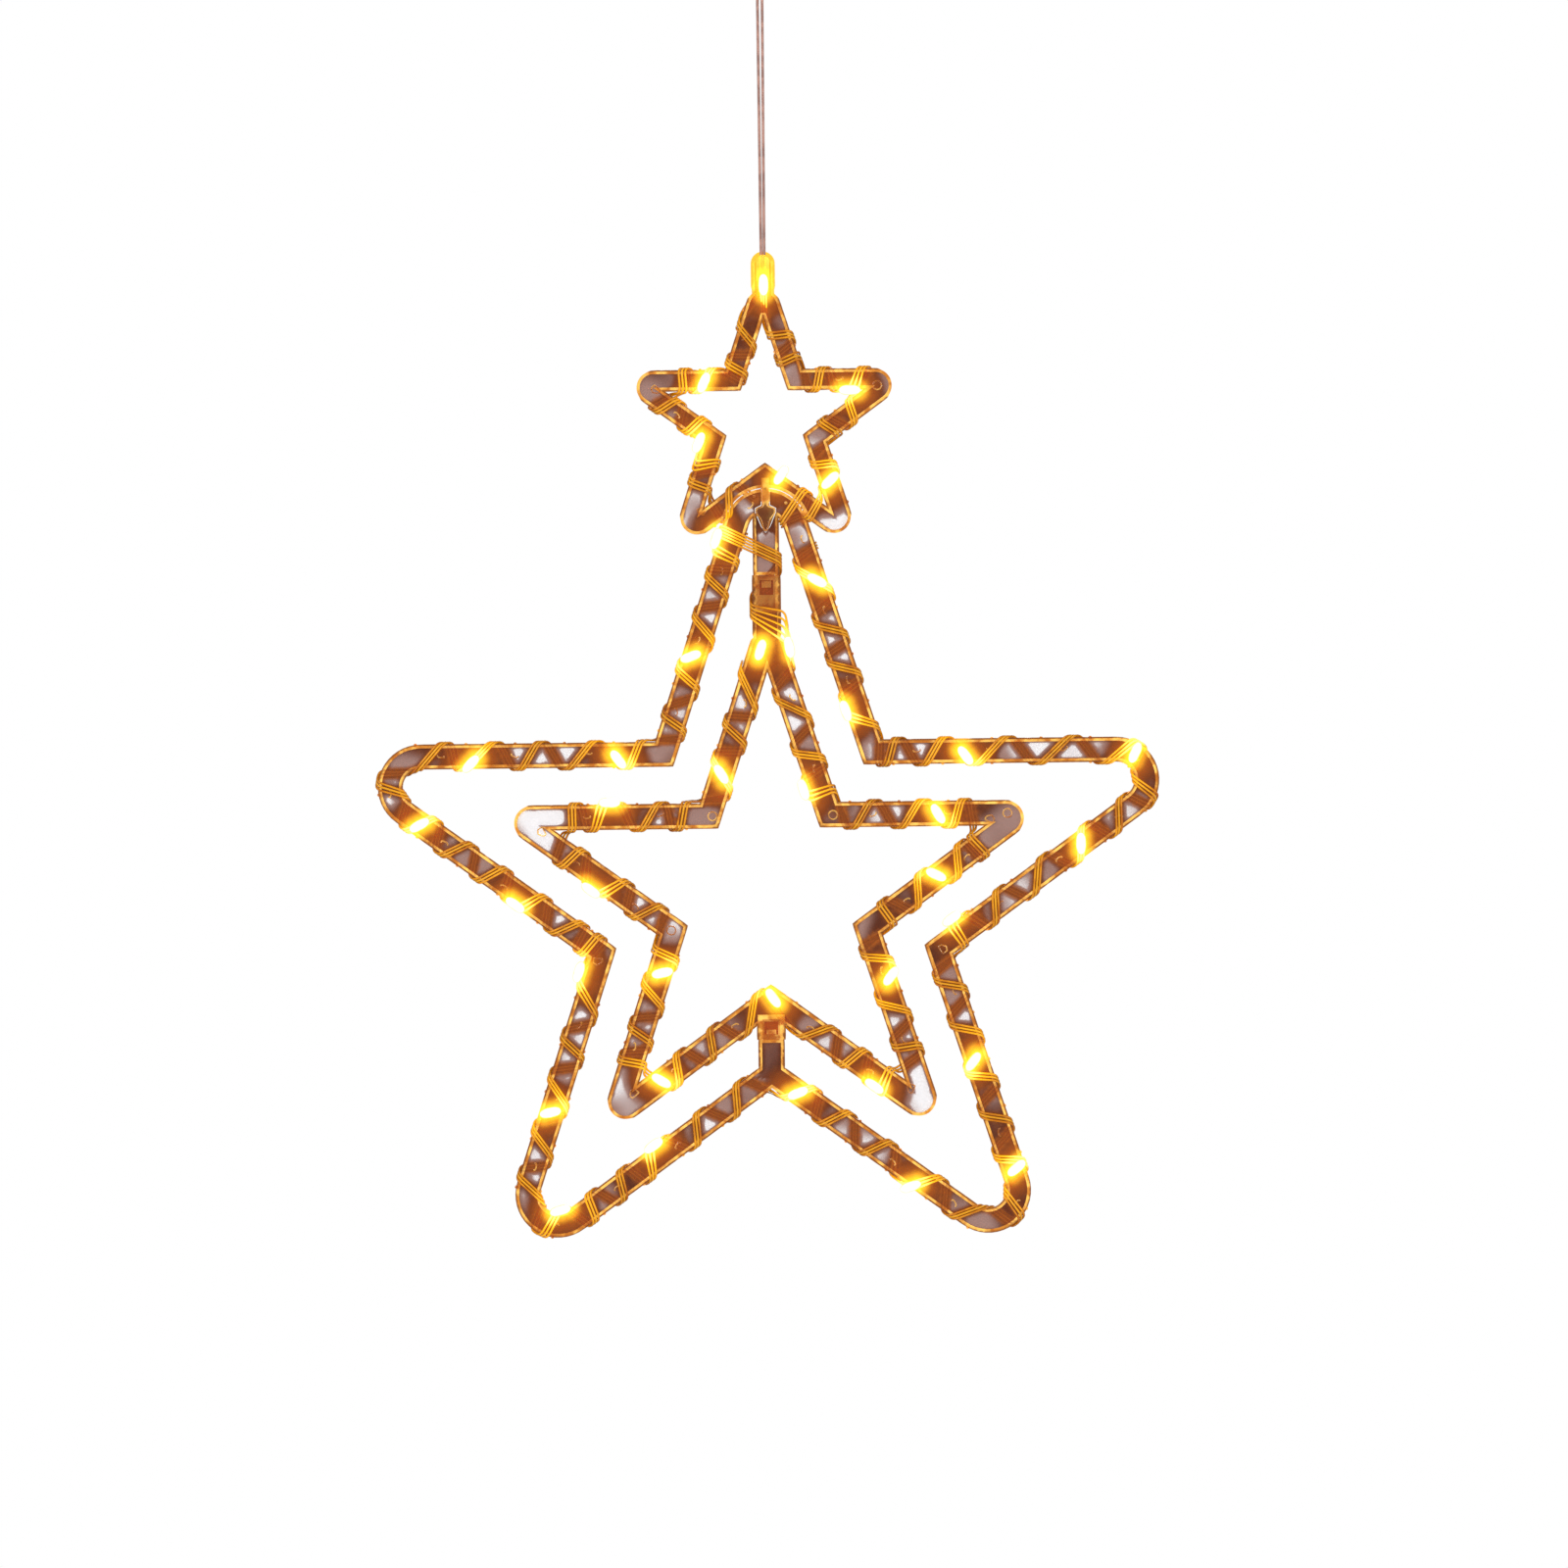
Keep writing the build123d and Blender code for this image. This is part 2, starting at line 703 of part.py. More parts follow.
def nearest_pass(pixel):
    """Middle, direction and front of the string's pass nearest to a picture point."""
    x, z = picture_place(pixel)
    best = None
    for a, b in front_passes:
        length = hypot(b.x - a.x, b.z - a.z)
        share = ((x - a.x) * (b.x - a.x) + (z - a.z) * (b.z - a.z)) / length**2
        share = min(max(share, lamp_end_share), 1 - lamp_end_share)
        near = (a.x + share * (b.x - a.x), a.z + share * (b.z - a.z))
        away = hypot(x - near[0], z - near[1])
        if best is None or away < best[0]:
            best = (away, near, ((b.x - a.x) / length, (b.z - a.z) / length), min(a.y, b.y))
    return best


def write_lamps(name, pixels):
    """One drop with round ends for each picture point, just in front of the wires.

    A lamp with no pass near it lies on the band's rim instead.
    """
    lamp_radius = lamp_diameter / 2
    band_depth = star_y - rim_depth / 2 - lamp_gap - lamp_radius
    with BuildPart() as lamps:
        for pixel in pixels:
            away, near, way, front = nearest_pass(pixel)
            depth = star_y + front - wire_diameter / 2 - lamp_gap - lamp_radius
            place = Plane(
                origin=(near[0], depth, star_z + near[1]), x_dir=(way[0], 0, way[1]), z_dir=(0, -1, 0)
            )
            if away > lamp_stray:
                place = Plane(
                    origin=(picture_place(pixel)[0], band_depth, star_z + picture_place(pixel)[1]),
                    x_dir=(1, 0, 0),
                    z_dir=(0, -1, 0),
                )
            with BuildSketch(place):
                with BuildLine():
                    half = lamp_length / 2
                    Line((-half, 0), (half, 0))
                    RadiusArc((half, 0), (half - lamp_radius, lamp_radius), -lamp_radius)
                    Line((half - lamp_radius, lamp_radius), (lamp_radius - half, lamp_radius))
                    RadiusArc((lamp_radius - half, lamp_radius), (-half, 0), -lamp_radius)
                make_face()
            revolve(axis=Axis(place.origin, place.x_dir))
            print(name, pixel, "moved", round(away, 1))
    finish(lamps, name)


write_lamps("small_lamps", small_lamp_pixels)
write_lamps("inner_lamps", inner_lamp_pixels)
write_lamps("outer_lamps", outer_lamp_pixels)

# Lead: two cores from the throat of the grip into the gland of the small star's boss
lead_low_z = lug_top_z - gland_depth + wire_standoff
for side, name in ((-1, "lead_core_left"), (1, "lead_core_right")):
    with BuildPart() as lead_core:
        with BuildLine() as lead_route:
            Line(
                (side * lead_spacing_high / 2, lead_axis_y, throat_z),
                (side * lead_spacing_low / 2, lead_axis_y, lead_low_z),
            )
        with BuildSketch(lead_route.line ^ 0):
            Circle(lead_core_diameter / 2)
        sweep(path=lead_route.line)
    finish(lead_core, name)

# Battery box: bay for three cells above a partition, bay for the board below it
bay_top = box_top - box_wall
partition_top = box_floor + board_bay
partition_low = partition_top - box_wall
bay_back = box_back - box_wall
lid_back = box_front + lid_thickness
tongue_back = lid_back
inside_width = box_width - 2 * box_wall
lid_width = inside_width - 2 * lid_play
lid_tongue_width = box_width - 2 * (box_wall - lid_groove) - 2 * lid_play
eye_top = peg_z + peg_diameter / 2 + eye_seat_gap + eye_crown
slot_top = eye_top - eye_crown
cell_y = (bay_back + lid_back) / 2
board_back = bay_back - board_standoff
board_front = board_back - board_thickness
board_middle = (partition_low + box_floor + box_wall) / 2

with BuildPart() as box_case:
    with BuildSketch(Plane.XZ.offset(-box_back)):
        with Locations((0, (box_top + box_floor) / 2)):
            RectangleRounded(box_width, box_height, box_corner)
    extrude(amount=box_depth)
    with BuildSketch(Plane.XZ.offset(-bay_back)):
        with Locations((0, (bay_top + partition_top) / 2)):
            Rectangle(inside_width, bay_top - partition_top)
        with Locations((0, board_middle)):
            Rectangle(inside_width, partition_low - box_floor - box_wall)
    extrude(amount=box_depth, mode=Mode.SUBTRACT)
    with BuildSketch(Plane.XZ.offset(-lid_back)):
        with Locations((0, (box_top + overrun + partition_low) / 2)):
            Rectangle(inside_width, box_top + overrun - partition_low)
    extrude(amount=overrun, mode=Mode.SUBTRACT)
    with BuildSketch(Plane.XZ.offset(-tongue_back - lid_play)):
        with Locations((0, (box_top + overrun + partition_top - lid_play) / 2)):
            Rectangle(lid_tongue_width + 2 * lid_play, box_top + overrun - partition_top + lid_play)
    extrude(amount=lid_tongue + 2 * lid_play, mode=Mode.SUBTRACT)
    with BuildSketch(Plane.XZ.offset(-bay_back)):
        with Locations((0, (bay_top + partition_top) / 2)):
            with GridLocations(cell_spacing, 0, 2, 1):
                Rectangle(cell_rib, bay_top - partition_top)
    extrude(amount=cell_diameter / 4)
    with BuildSketch(Plane.XZ.offset(-bay_back)):
        with GridLocations(post_spacing, 0, 2, 1):
            with Locations((0, board_middle)):
                Circle(post_diameter / 2)
    extrude(amount=bay_back - lid_back)
    with BuildSketch(Plane.XZ.offset(-bay_back)):
        with GridLocations(board_width - 2 * standoff_diameter, 0, 2, 1):
            with Locations((0, board_middle)):
                Circle(standoff_diameter / 2)
    extrude(amount=board_standoff)
    with BuildSketch(Plane.XZ.offset(-lid_back)):
        with GridLocations(post_spacing, 0, 2, 1):
            with Locations((0, board_middle)):
                Circle(screw_shank_diameter / 2 + screw_play)
    extrude(amount=-screw_length, mode=Mode.SUBTRACT)
    with BuildSketch(Plane.XY.offset(box_floor)):
        with Locations((0, lead_axis_y)):
            Circle(grip_neck_diameter / 2 + grip_play)
    extrude(amount=box_wall, mode=Mode.SUBTRACT)
    with BuildSketch(Plane.XZ.offset(-lead_axis_y - eye_plate / 2)):
        with Locations((0, (eye_top - eye_width / 2 + box_top - box_wall / 2) / 2)):
            Rectangle(eye_width, eye_top - eye_width / 2 - box_top + box_wall / 2)
        with Locations((0, eye_top - eye_width / 2)):
            Circle(eye_width / 2)
    extrude(amount=eye_plate)
    with BuildSketch(Plane.XZ.offset(-lead_axis_y - eye_plate / 2)):
        with Locations((0, slot_top - eye_slot_height / 2)):
            SlotOverall(eye_slot_height, eye_slot_width, rotation=90)
    extrude(amount=eye_plate, mode=Mode.SUBTRACT)
finish(box_case, "box_case")

# Sliding lid over the cells, with grip ribs near its top
lid_low = partition_top + lid_play
rib_step = 6 * lid_rib
with BuildPart() as battery_lid:
    with BuildSketch(Plane.XZ.offset(-lid_back + lid_play)):
        with Locations((0, (box_top + lid_low) / 2)):
            Rectangle(lid_width, box_top - lid_low)
    extrude(amount=lid_thickness - lid_play)
    with BuildSketch(Plane.XZ.offset(-tongue_back)):
        with Locations((0, (box_top + lid_low) / 2)):
            Rectangle(lid_tongue_width, box_top - lid_low)
    extrude(amount=lid_tongue)
    with BuildSketch(Plane.XZ.offset(-box_front)):
        with Locations((0, box_top - lid_width / 4)):
            with GridLocations(0, rib_step, 1, 5):
                SlotOverall(lid_width / 2, 2 * lid_rib)
    extrude(amount=lid_rib)
finish(battery_lid, "battery_lid")

# Fixed cover over the board, with a slot for the switch and two counterbored screw holes
cover_low = box_floor + box_wall + lid_play
knob_slot = knob_width + switch_travel + 2 * slot_play
with BuildPart() as board_cover:
    with BuildSketch(Plane.XZ.offset(-lid_back)):
        with Locations((0, (partition_low + cover_low - lid_play) / 2)):
            Rectangle(lid_width, partition_low - cover_low - lid_play)
    extrude(amount=lid_thickness)
    with BuildSketch(Plane.XZ.offset(-box_front)):
        with GridLocations(post_spacing, 0, 2, 1):
            with Locations((0, board_middle)):
                Circle(screw_head_diameter / 2 + screw_play)
    extrude(amount=-screw_head_height, mode=Mode.SUBTRACT)
    with BuildSketch(Plane.XZ.offset(-lid_back)):
        with GridLocations(post_spacing, 0, 2, 1):
            with Locations((0, board_middle)):
                Circle(screw_shank_diameter / 2 + screw_play)
        with Locations((switch_place + switch_travel / 2, board_middle)):
            Rectangle(knob_slot, knob_height + 2 * slot_play)
    extrude(amount=lid_thickness, mode=Mode.SUBTRACT)
finish(board_cover, "board_cover")

with BuildPart() as cover_screws:
    with BuildSketch(Plane.XZ.offset(-box_front - screw_head_height)):
        with GridLocations(post_spacing, 0, 2, 1):
            with Locations((0, board_middle)):
                Circle(screw_head_diameter / 2)
    extrude(amount=screw_head_height)
    with BuildSketch(Plane.XZ.offset(-box_front - screw_head_height)):
        with GridLocations(post_spacing, 0, 2, 1):
            with Locations((0, board_middle)):
                Circle(screw_shank_diameter / 2)
    extrude(amount=-screw_length)
    with BuildSketch(Plane.XZ.offset(-box_front)):
        with GridLocations(post_spacing, 0, 2, 1):
            with Locations((0, board_middle)):
                Rectangle(screw_shank_diameter, screw_cross)
                Rectangle(screw_cross, screw_shank_diameter)
    extrude(amount=-screw_head_height / 2, mode=Mode.SUBTRACT)
finish(cover_screws, "cover_screws")

# Three cells, the middle one upside down, with contact plates and springs
plate_top = bay_top
plate_low = partition_top
cell_run = cell_length + cell_nub_length
up_high = plate_top - contact_plate - cell_nub_length
down_low = plate_low + contact_plate + cell_nub_length
cells = [(-cell_spacing, 1, "cell_left"), (0, -1, "cell_middle"), (cell_spacing, 1, "cell_right")]
cell_edge = cell_nub_length / 2
for x, sense, name in cells:
    start = up_high if sense > 0 else down_low
    with BuildPart() as cell:
        with BuildSketch(Plane.XY.offset(start)):
            with Locations((x, cell_y)):
                Circle(cell_diameter / 2)
        extrude(amount=-sense * cell_length)
        chamfer(cell.edges().filter_by(GeomType.CIRCLE), cell_edge)
        with BuildSketch(Plane.XY.offset(start)):
            with Locations((x, cell_y)):
                Circle(cell_nub_diameter / 2)
        extrude(amount=sense * cell_nub_length)
    finish(cell, name)

spring_length = plate_top - plate_low - 2 * contact_plate - cell_run
spring_rise = spring_length - 2 * spring_wire
spring_pitch = spring_rise / spring_turns
with BuildPart() as contact_springs:
    for x, sense, name in cells:
        foot = plate_low + contact_plate if sense > 0 else plate_top - contact_plate
        base = (x, cell_y, foot + sense * spring_wire)
        with BuildLine() as coil:
            Helix(spring_pitch, spring_rise, spring_radius, center=base, direction=(0, 0, sense))
        with BuildSketch(coil.line ^ 0):
            Circle(spring_wire / 2)
        sweep(path=coil.line, is_frenet=True)
finish(contact_springs, "contact_springs")
print("spring gap to itself", round(spring_pitch - spring_wire, 2))

with BuildPart() as contact_plates:
    for height, middle in ((plate_top - contact_plate, 1), (plate_low, -1)):
        with BuildSketch(Plane.XY.offset(height)):
            with Locations((-middle * cell_spacing / 2, cell_y)):
                Rectangle(cell_spacing + contact_width, contact_width)
            with Locations((middle * cell_spacing, cell_y)):
                Rectangle(contact_width, contact_width)
        extrude(amount=contact_plate)
finish(contact_plates, "contact_plates")

# Board with its chip, switch and solder
with BuildPart() as circuit_board:
    with BuildSketch(Plane.XZ.offset(-board_back)):
        with Locations((0, board_middle)):
            Rectangle(board_width, board_height)
    extrude(amount=board_thickness)
    with BuildSketch(Plane.XZ.offset(-board_front)):
        with GridLocations(2 * lead_spacing_high, 0, 2, 1):
            with Locations((0, board_middle + board_height / 4)):
                Circle(solder_diameter / 2)
    extrude(amount=solder_height)
finish(circuit_board, "circuit_board")

with BuildPart() as timer_chip:
    with BuildSketch(Plane.XZ.offset(-board_front)):
        with Locations((-switch_place, board_middle)):
            Rectangle(chip_size, chip_size)
    extrude(amount=chip_height)
    with BuildSketch(Plane.XZ.offset(-board_front)):
        with Locations((-switch_place, board_middle)):
            with GridLocations(chip_size + solder_height, chip_size / 4, 2, 4):
                Rectangle(solder_height, solder_height / 2)
    extrude(amount=chip_height / 2)
finish(timer_chip, "timer_chip")

switch_x = switch_place + switch_travel / 2
switch_front = board_front - switch_depth
with BuildPart() as switch_body:
    with BuildSketch(Plane.XZ.offset(-board_front)):
        with Locations((switch_x, board_middle)):
            Rectangle(switch_length, switch_height)
    extrude(amount=switch_depth)
    with BuildSketch(Plane.XZ.offset(-switch_front)):
        with Locations((switch_x, board_middle)):
            Rectangle(knob_slot, knob_height / 2 + 2 * slot_play)
    extrude(amount=-switch_depth / 2, mode=Mode.SUBTRACT)
finish(switch_body, "switch_body")

stem_height = knob_height / 2
with BuildPart() as switch_slider:
    with BuildSketch(Plane.XZ.offset(-switch_front + lid_play)):
        with Locations((switch_place, board_middle)):
            Rectangle(knob_width, knob_height)
    extrude(amount=switch_front - lid_play - box_front + knob_proud)
    with BuildSketch(Plane.XZ.offset(-switch_front + lid_play)):
        with Locations((switch_place, board_middle)):
            Rectangle(knob_width, stem_height)
    extrude(amount=-switch_depth / 2)
finish(switch_slider, "switch_slider")

# Cable grip: a flanged bush in the floor whose mouth flares downward round the lead
grip_profile = [
    (grip_bore / 2, box_floor + box_wall + grip_flange),
    (grip_flange_diameter / 2, box_floor + box_wall + grip_flange),
    (grip_flange_diameter / 2, box_floor + box_wall),
    (grip_neck_diameter / 2, box_floor + box_wall),
    (grip_neck_diameter / 2, box_floor),
    (grip_flange_diameter / 2, box_floor),
    (grip_flange_diameter / 2, throat_z),
    (grip_mouth_diameter / 2, box_floor - mouth_drop),
    (grip_mouth_bore / 2, box_floor - mouth_drop),
    (grip_bore / 2, throat_z),
]
grip_plane = Plane(origin=(0, lead_axis_y, 0), x_dir=(1, 0, 0), z_dir=(0, -1, 0))
with BuildPart() as cable_grip:
    with BuildSketch(grip_plane):
        with BuildLine():
            Polyline(*grip_profile, close=True)
        make_face()
    revolve(axis=Axis((0, lead_axis_y, 0), (0, 0, 1)))
finish(cable_grip, "cable_grip")

# Two short wires inside the box, from the lead's top to the board's solder
board_wire_y = board_front - solder_height
board_wire_z = board_middle + board_height / 4
with BuildPart() as board_wires:
    for side in (-1, 1):
        with BuildLine() as wire_route:
            FilletPolyline(
                (side * lead_spacing_high / 2, lead_axis_y, throat_z + board_wire_gap),
                (side * lead_spacing_high / 2, lead_axis_y, box_floor + box_wall + 2 * grip_flange),
                (side * lead_spacing_high, lead_axis_y, board_wire_z),
                (side * lead_spacing_high, board_wire_y, board_wire_z),
                radius=lead_core_diameter,
            )
        with BuildSketch(wire_route.line ^ 0):
            Circle(lead_core_diameter / 2)
        sweep(path=wire_route.line)
finish(board_wires, "board_wires")

# Suction cup pressed flat on the glass: a disc, a dome, a neck and a knob; the hook's ring sits on the neck
cup_profile = [
    (0, 0),
    (cup_diameter / 2, 0),
    (cup_diameter / 2, -cup_lip / 2),
    (cup_body_diameter / 2, -cup_dome - cup_lip),
    (cup_neck_diameter / 2 + cup_lip, -cup_neck_start),
    (cup_neck_diameter / 2, -cup_neck_start),
    (cup_neck_diameter / 2, -cup_neck_end),
    (cup_head_diameter / 2, -cup_neck_end - cup_lip / 2),
    (cup_head_diameter / 2, -cup_depth + cup_lip),
    (cup_neck_diameter / 2, -cup_depth),
    (0, -cup_depth),
]
with BuildPart() as suction_cup:
    with BuildSketch(Plane.XY):
        with BuildLine():
            Polyline(*cup_profile, close=True)
        make_face()
    revolve(axis=Axis.Y)
finish(suction_cup, "suction_cup")

ring_back = -cup_neck_start - (cup_neck_end - cup_neck_start - hook_plate) / 2
with BuildPart() as cup_hook:
    with BuildSketch(Plane.XZ.offset(-ring_back)):
        Circle(hook_ring_diameter / 2)
        with Locations((0, peg_z / 2)):
            Rectangle(hook_arm_width, -peg_z)
        with Locations((0, peg_z)):
            Circle(hook_arm_width / 2)
        Circle(hook_ring_bore / 2, mode=Mode.SUBTRACT)
    extrude(amount=hook_plate)
    with BuildLine() as peg_route:
        FilletPolyline(
            (0, ring_back - hook_plate / 2, peg_z),
            (0, -peg_reach, peg_z),
            (0, -peg_reach, peg_z + peg_upturn),
            radius=peg_bend,
        )
    with BuildSketch(peg_route.line ^ 0):
        Circle(peg_diameter / 2)
    sweep(path=peg_route.line)
finish(cup_hook, "cup_hook")
print("star plane y", star_y, "outer star centre z", star_z, "lug top z", lug_top_z)
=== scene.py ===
"""Lighted hanging window star: looks, camera and light."""
from collections import namedtuple
from math import copysign, cos, hypot, pi, sin, tan

import bmesh
import bpy
import numpy as np
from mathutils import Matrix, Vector


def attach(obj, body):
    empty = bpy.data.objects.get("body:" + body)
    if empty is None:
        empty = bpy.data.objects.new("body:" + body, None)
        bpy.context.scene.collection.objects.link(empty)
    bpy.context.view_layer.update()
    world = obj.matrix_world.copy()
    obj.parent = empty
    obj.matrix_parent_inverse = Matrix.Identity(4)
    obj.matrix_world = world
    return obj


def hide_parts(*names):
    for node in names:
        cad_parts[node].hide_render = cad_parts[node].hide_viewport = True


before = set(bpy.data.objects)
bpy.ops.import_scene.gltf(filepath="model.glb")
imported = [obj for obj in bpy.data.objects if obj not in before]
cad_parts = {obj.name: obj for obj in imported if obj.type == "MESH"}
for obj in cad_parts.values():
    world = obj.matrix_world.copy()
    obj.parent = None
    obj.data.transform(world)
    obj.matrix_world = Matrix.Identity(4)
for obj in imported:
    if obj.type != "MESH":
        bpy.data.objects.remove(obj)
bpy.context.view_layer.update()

MM = 0.001
rng = np.random.default_rng(7)

# Sizes as in the CAD source, in millimetres
outer_tip_radius = 215.0
outer_tip_rounding = 18.0
outer_band = 10.0
inner_tip_radius = 131.0
inner_band = 10.2
inner_drop = 0.6
inner_tip_rounding = 7.4
small_tip_radius = 73.0
small_band = 8.4
rim_depth = 3.6
web_thickness = 1.4
nest_clearance = 0.4
sleeve_mouth = 137.5
sleeve_depth = 5.0
sleeve_width = 11.6
bar_width = 10.6
pillar_mouth = 61.1
lug_reach = 73.0
lug_width = 9.6
boss_length = 10.5
boss_top_gap = 1.6
boss_front = 4.65
lug_top_z = -234.5
throat_z = -112.5
lead_low_z = -242.15
lead_axis_y = -20.0
lead_core_diameter = 1.25
star_y = -17.6

# Sizes of the visual model alone: the string's wires look thinner in the picture than the lead's cores
wire_diameter = 0.98
wire_pitch = 1.16
wire_lift = 0.15
wire_standoff = 0.6

arms = 5
step = 2 * pi / arms
tip_half = step / 4
valley_share = cos(step) / cos(step / 2)
arch_top = outer_tip_radius - outer_tip_rounding * (1 / sin(tip_half) - 1)
inner_top = inner_tip_radius - inner_tip_rounding * (1 / sin(tip_half) - 1) - inner_drop
small_rise = arch_top + nest_clearance + small_tip_radius * valley_share
star_z = lug_top_z - small_rise - lug_reach

# How the photograph's pixels lie on the star, from the outer star's centre
picture_scale = 0.42
picture_centre = (785.6, 914.5)
picture_lean = 0.01134


def picture_place(pixel):
    """A picture point in millimetres from the outer star's centre."""
    drop = pixel[1] - picture_centre[1]
    return (pixel[0] - picture_centre[0] - drop * picture_lean) * picture_scale, -drop * picture_scale


def add_object(name, data):
    """A new object in the scene."""
    obj = bpy.data.objects.new(name, data)
    bpy.context.scene.collection.objects.link(obj)
    return obj


# Camera: square on to the star, turned by the star's small lean in the picture
camera_data = bpy.data.cameras.new("camera")
camera_data.sensor_width = 36.0
camera_data.lens = 160.7
camera = add_object("camera", camera_data)
camera.location = (0.0066, -3.0176, -0.4624)
camera.rotation_euler = (pi / 2, picture_lean, 0)
bpy.context.scene.camera = camera


# Node helpers
def settle(tree, node, values):
    """Give a node's inputs, by name or number, a value or a link."""
    for label, value in values.items():
        if isinstance(value, bpy.types.NodeSocket):
            tree.links.new(value, node.inputs[label])
        else:
            node.inputs[label].default_value = value


def maths(tree, operation, a, b):
    """A math node's output."""
    node = tree.nodes.new("ShaderNodeMath")
    node.operation = operation
    settle(tree, node, {0: a, 1: b})
    return node.outputs[0]


def product(tree, a, b):
    """One value times another."""
    return maths(tree, "MULTIPLY", a, b)


def ramp(tree, value, low, high):
    """0 below the low value, 1 above the high one, smooth between."""
    node = tree.nodes.new("ShaderNodeMapRange")
    node.interpolation_type = "SMOOTHSTEP"
    settle(tree, node, {"Value": value, "From Min": low, "From Max": high})
    return node.outputs["Result"]


def blend_colours(tree, share, a, b):
    """Colour b over colour a by a share."""
    node = tree.nodes.new("ShaderNodeMix")
    node.data_type = "RGBA"
    settle(tree, node, {0: share, 6: a, 7: b})
    return node.outputs[2]


def scaled_colour(tree, colour, amount):
    """A colour times a number."""
    node = tree.nodes.new("ShaderNodeVectorMath")
    node.operation = "SCALE"
    settle(tree, node, {0: colour, "Scale": amount})
    return node.outputs[0]


def carried_value(tree, name):
    """A value stored on the mesh's points."""
    node = tree.nodes.new("ShaderNodeAttribute")
    node.attribute_name = name
    return node.outputs["Fac"]


def clouds(tree, scale, detail=2.0, offset=(0.0, 0.0, 0.0)):
    """Noise in the object's own place."""
    place = tree.nodes.new("ShaderNodeTexCoord")
    mapping = tree.nodes.new("ShaderNodeMapping")
    settle(tree, mapping, {"Location": offset, "Vector": place.outputs["Object"]})
    node = tree.nodes.new("ShaderNodeTexNoise")
    settle(tree, node, {"Vector": mapping.outputs[0], "Scale": scale, "Detail": detail})
    return node.outputs[0]


def facing_share(tree, blend):
    """How far a surface turns away from the eye."""
    node = tree.nodes.new("ShaderNodeLayerWeight")
    node.inputs["Blend"].default_value = blend
    return node.outputs["Facing"]


def uneven(tree, shader, height, strength, distance):
    """Fine unevenness on a shader's normal."""
    bump = tree.nodes.new("ShaderNodeBump")
    settle(tree, bump, {"Strength": strength, "Distance": distance, "Height": height})
    settle(tree, shader, {"Normal": bump.outputs["Normal"]})


def tone(red, green, blue):
    """A screen colour out of 255 as linear light."""
    return tuple((c / 255) ** 2.2 for c in (red, green, blue)) + (1.0,)


def new_group(name, inputs, outputs):
    """An empty node group with its sockets."""
    tree = bpy.data.node_groups.new(name, "ShaderNodeTree")
    for label, kind in inputs:
        tree.interface.new_socket(name=label, in_out="INPUT", socket_type=kind)
    for label, kind in outputs:
        tree.interface.new_socket(name=label, in_out="OUTPUT", socket_type=kind)
    return tree, tree.nodes.new("NodeGroupInput"), tree.nodes.new("NodeGroupOutput")


def new_material(name, group=None):
    """A material with a principled shader and, where asked, a group node."""
    material = bpy.data.materials.new(name)
    material.use_nodes = True
    tree = material.node_tree
    shader = tree.nodes["Principled BSDF"]
    node = None
    if group:
        node = tree.nodes.new("ShaderNodeGroup")
        node.node_tree = group
    return material, tree, shader, node


black = (0.0, 0.0, 0.0, 1.0)


